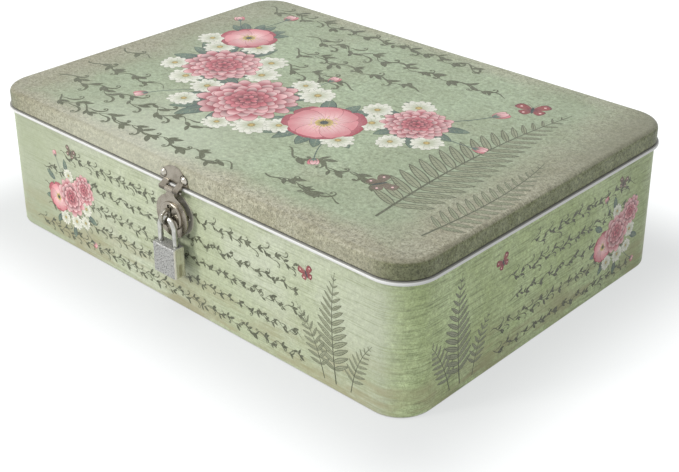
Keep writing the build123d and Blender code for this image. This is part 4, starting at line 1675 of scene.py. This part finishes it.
def dress(node: str, material: bpy.types.Material) -> None:
    """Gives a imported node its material.

    Args:
        node: The node's name.
        material: The material that it shows all over.
    """
    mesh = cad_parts[node].data
    mesh.materials.clear()
    mesh.materials.append(material)
    log.info("%s wears %s", node, material.name)


@dataclass(frozen=True)
class Lamp:
    """A square area light that faces the box; metres and watts."""

    name: str
    place: Point3
    size: float
    watts: float
    tint: Colour
    aim: Point3 = (0, 0, 0.04)

    def build(self) -> None:
        """Hangs the lamp."""
        data = bpy.data.lights.new(self.name, "AREA")
        data.size, data.energy, data.color = self.size, self.watts, self.tint
        lamp = placed(self.name, data)
        lamp.location = self.place
        lamp.rotation_mode = "QUATERNION"
        lamp.rotation_quaternion = (Vector(self.aim) - Vector(self.place)).to_track_quat("-Z", "Y")


@dataclass(frozen=True)
class Studio:
    """White floor and soft studio light, with the camera where the photograph was taken."""

    target: Point3 = (-0.0019, 0.0159, 0.0443)
    azimuth: float = 0.7551
    elevation: float = 0.4461
    distance: float = 0.7911
    roll: float = -0.0041
    focal_pixels: float = 1297.5
    centre_row: float = 160.5
    image_width: int = 679
    image_height: int = 472
    sensor: float = 36.0
    floor_size: float = 6.0
    footprint: Point3 = (0.1625, 0.1145, 0.0)
    # painted shade round the box: the floor's glow rises from dim to bright over this reach
    clear_reach: float = 0.094
    clear_glow: tuple[float, float] = (0.63, 1.0)
    matt: float = 0.80
    seen_matt: float = 0.18
    lamps: tuple[Lamp, ...] = (
        Lamp("key_light", (-0.80, -1.75, 0.95), 0.40, 21.0, (1.0, 0.985, 0.96)),
        Lamp("top_light", (-0.05, -0.50, 1.25), 0.9, 7.0, (0.97, 0.99, 1.0)),
    )

    def camera(self) -> None:
        """Makes the camera."""
        back = Vector((
            math.sin(self.azimuth) * math.cos(self.elevation),
            -math.cos(self.azimuth) * math.cos(self.elevation),
            math.sin(self.elevation),
        ))
        data = bpy.data.cameras.new("camera")
        data.sensor_width = self.sensor
        data.lens = self.focal_pixels / self.image_width * self.sensor
        data.shift_y = (self.centre_row - self.image_height / 2) / self.image_width
        data.clip_start, data.clip_end = 0.01, 50.0
        camera = placed("camera", data)
        camera.matrix_world = (
            Matrix.Translation(Vector(self.target) + back * self.distance)
            @ (-back).to_track_quat("-Z", "Y").to_matrix().to_4x4()
            @ Matrix.Rotation(self.roll, 4, "Z")
        )
        bpy.context.scene.camera = camera

    def floor(self) -> None:
        """Makes the floor, which keeps the object's shadow and grows brighter away from it: its glow is
        dimmed near the box as painted shade.
        """
        half = self.floor_size / 2
        mesh = bpy.data.meshes.new("floor")
        square = ((-half, -half, 0), (half, -half, 0), (half, half, 0), (-half, half, 0))
        mesh.from_pydata(square, [], [(0, 1, 2, 3)])
        floor = placed("floor", mesh)
        wiring = Wiring("floor_white")
        wiring.tree.nodes.remove(wiring.shader)
        matt, seen_matt = (
            wiring.join("ShaderNodeBsdfDiffuse", {"Color": (level, level, level, 1.0)})
            for level in (self.matt, self.seen_matt)
        )
        # painted shade: the floor's glow is dimmer near the box's footprint
        past = wiring.vector("SUBTRACT", wiring.vector("ABSOLUTE", wiring.place), self.footprint)
        from_box = wiring.vector("LENGTH", wiring.vector("MAXIMUM", past))
        dim, bright = self.clear_glow
        strength = from_box.ease(0.0, self.clear_reach, bright, dim)
        glow = wiring.join("ShaderNodeEmission", {"Color": (0.985, 1.0, 1.0, 1.0), "Strength": strength})
        looks = wiring.join("ShaderNodeAddShader", {0: seen_matt, 1: glow})
        wiring.show(matt, looks, "Material Output")
        mesh.materials.append(wiring.material)

    def world(self) -> None:
        """Gives the world a white look and a soft light."""
        world = bpy.data.worlds.new("studio")
        world.use_nodes = True
        nodes = Nodes(world.node_tree)
        light = nodes.tree.nodes["Background"]
        nodes.feed(light.inputs["Color"], (0.97, 0.985, 1.0, 1.0))
        nodes.feed(light.inputs["Strength"], 0.50)
        white = nodes.join("ShaderNodeBackground", {"Color": (1.0, 1.0, 1.0, 1.0), "Strength": 1.0})
        nodes.show(Signal(nodes, light.outputs[0]), white, "World Output")
        bpy.context.scene.world = world

    def build(self) -> None:
        """Makes the whole studio."""
        self.camera()
        self.floor()
        self.world()
        for lamp in self.lamps:
            lamp.build()
        bpy.context.scene.view_settings.view_transform = "Standard"


def main() -> None:
    """Builds the scene and reports each piece."""
    logging.basicConfig(level=logging.INFO, format="%(name)s: %(message)s")
    TinBox(TinForm.measure()).build()
    Hardware().build()
    Studio().build()


if __name__ == "__main__":
    main()
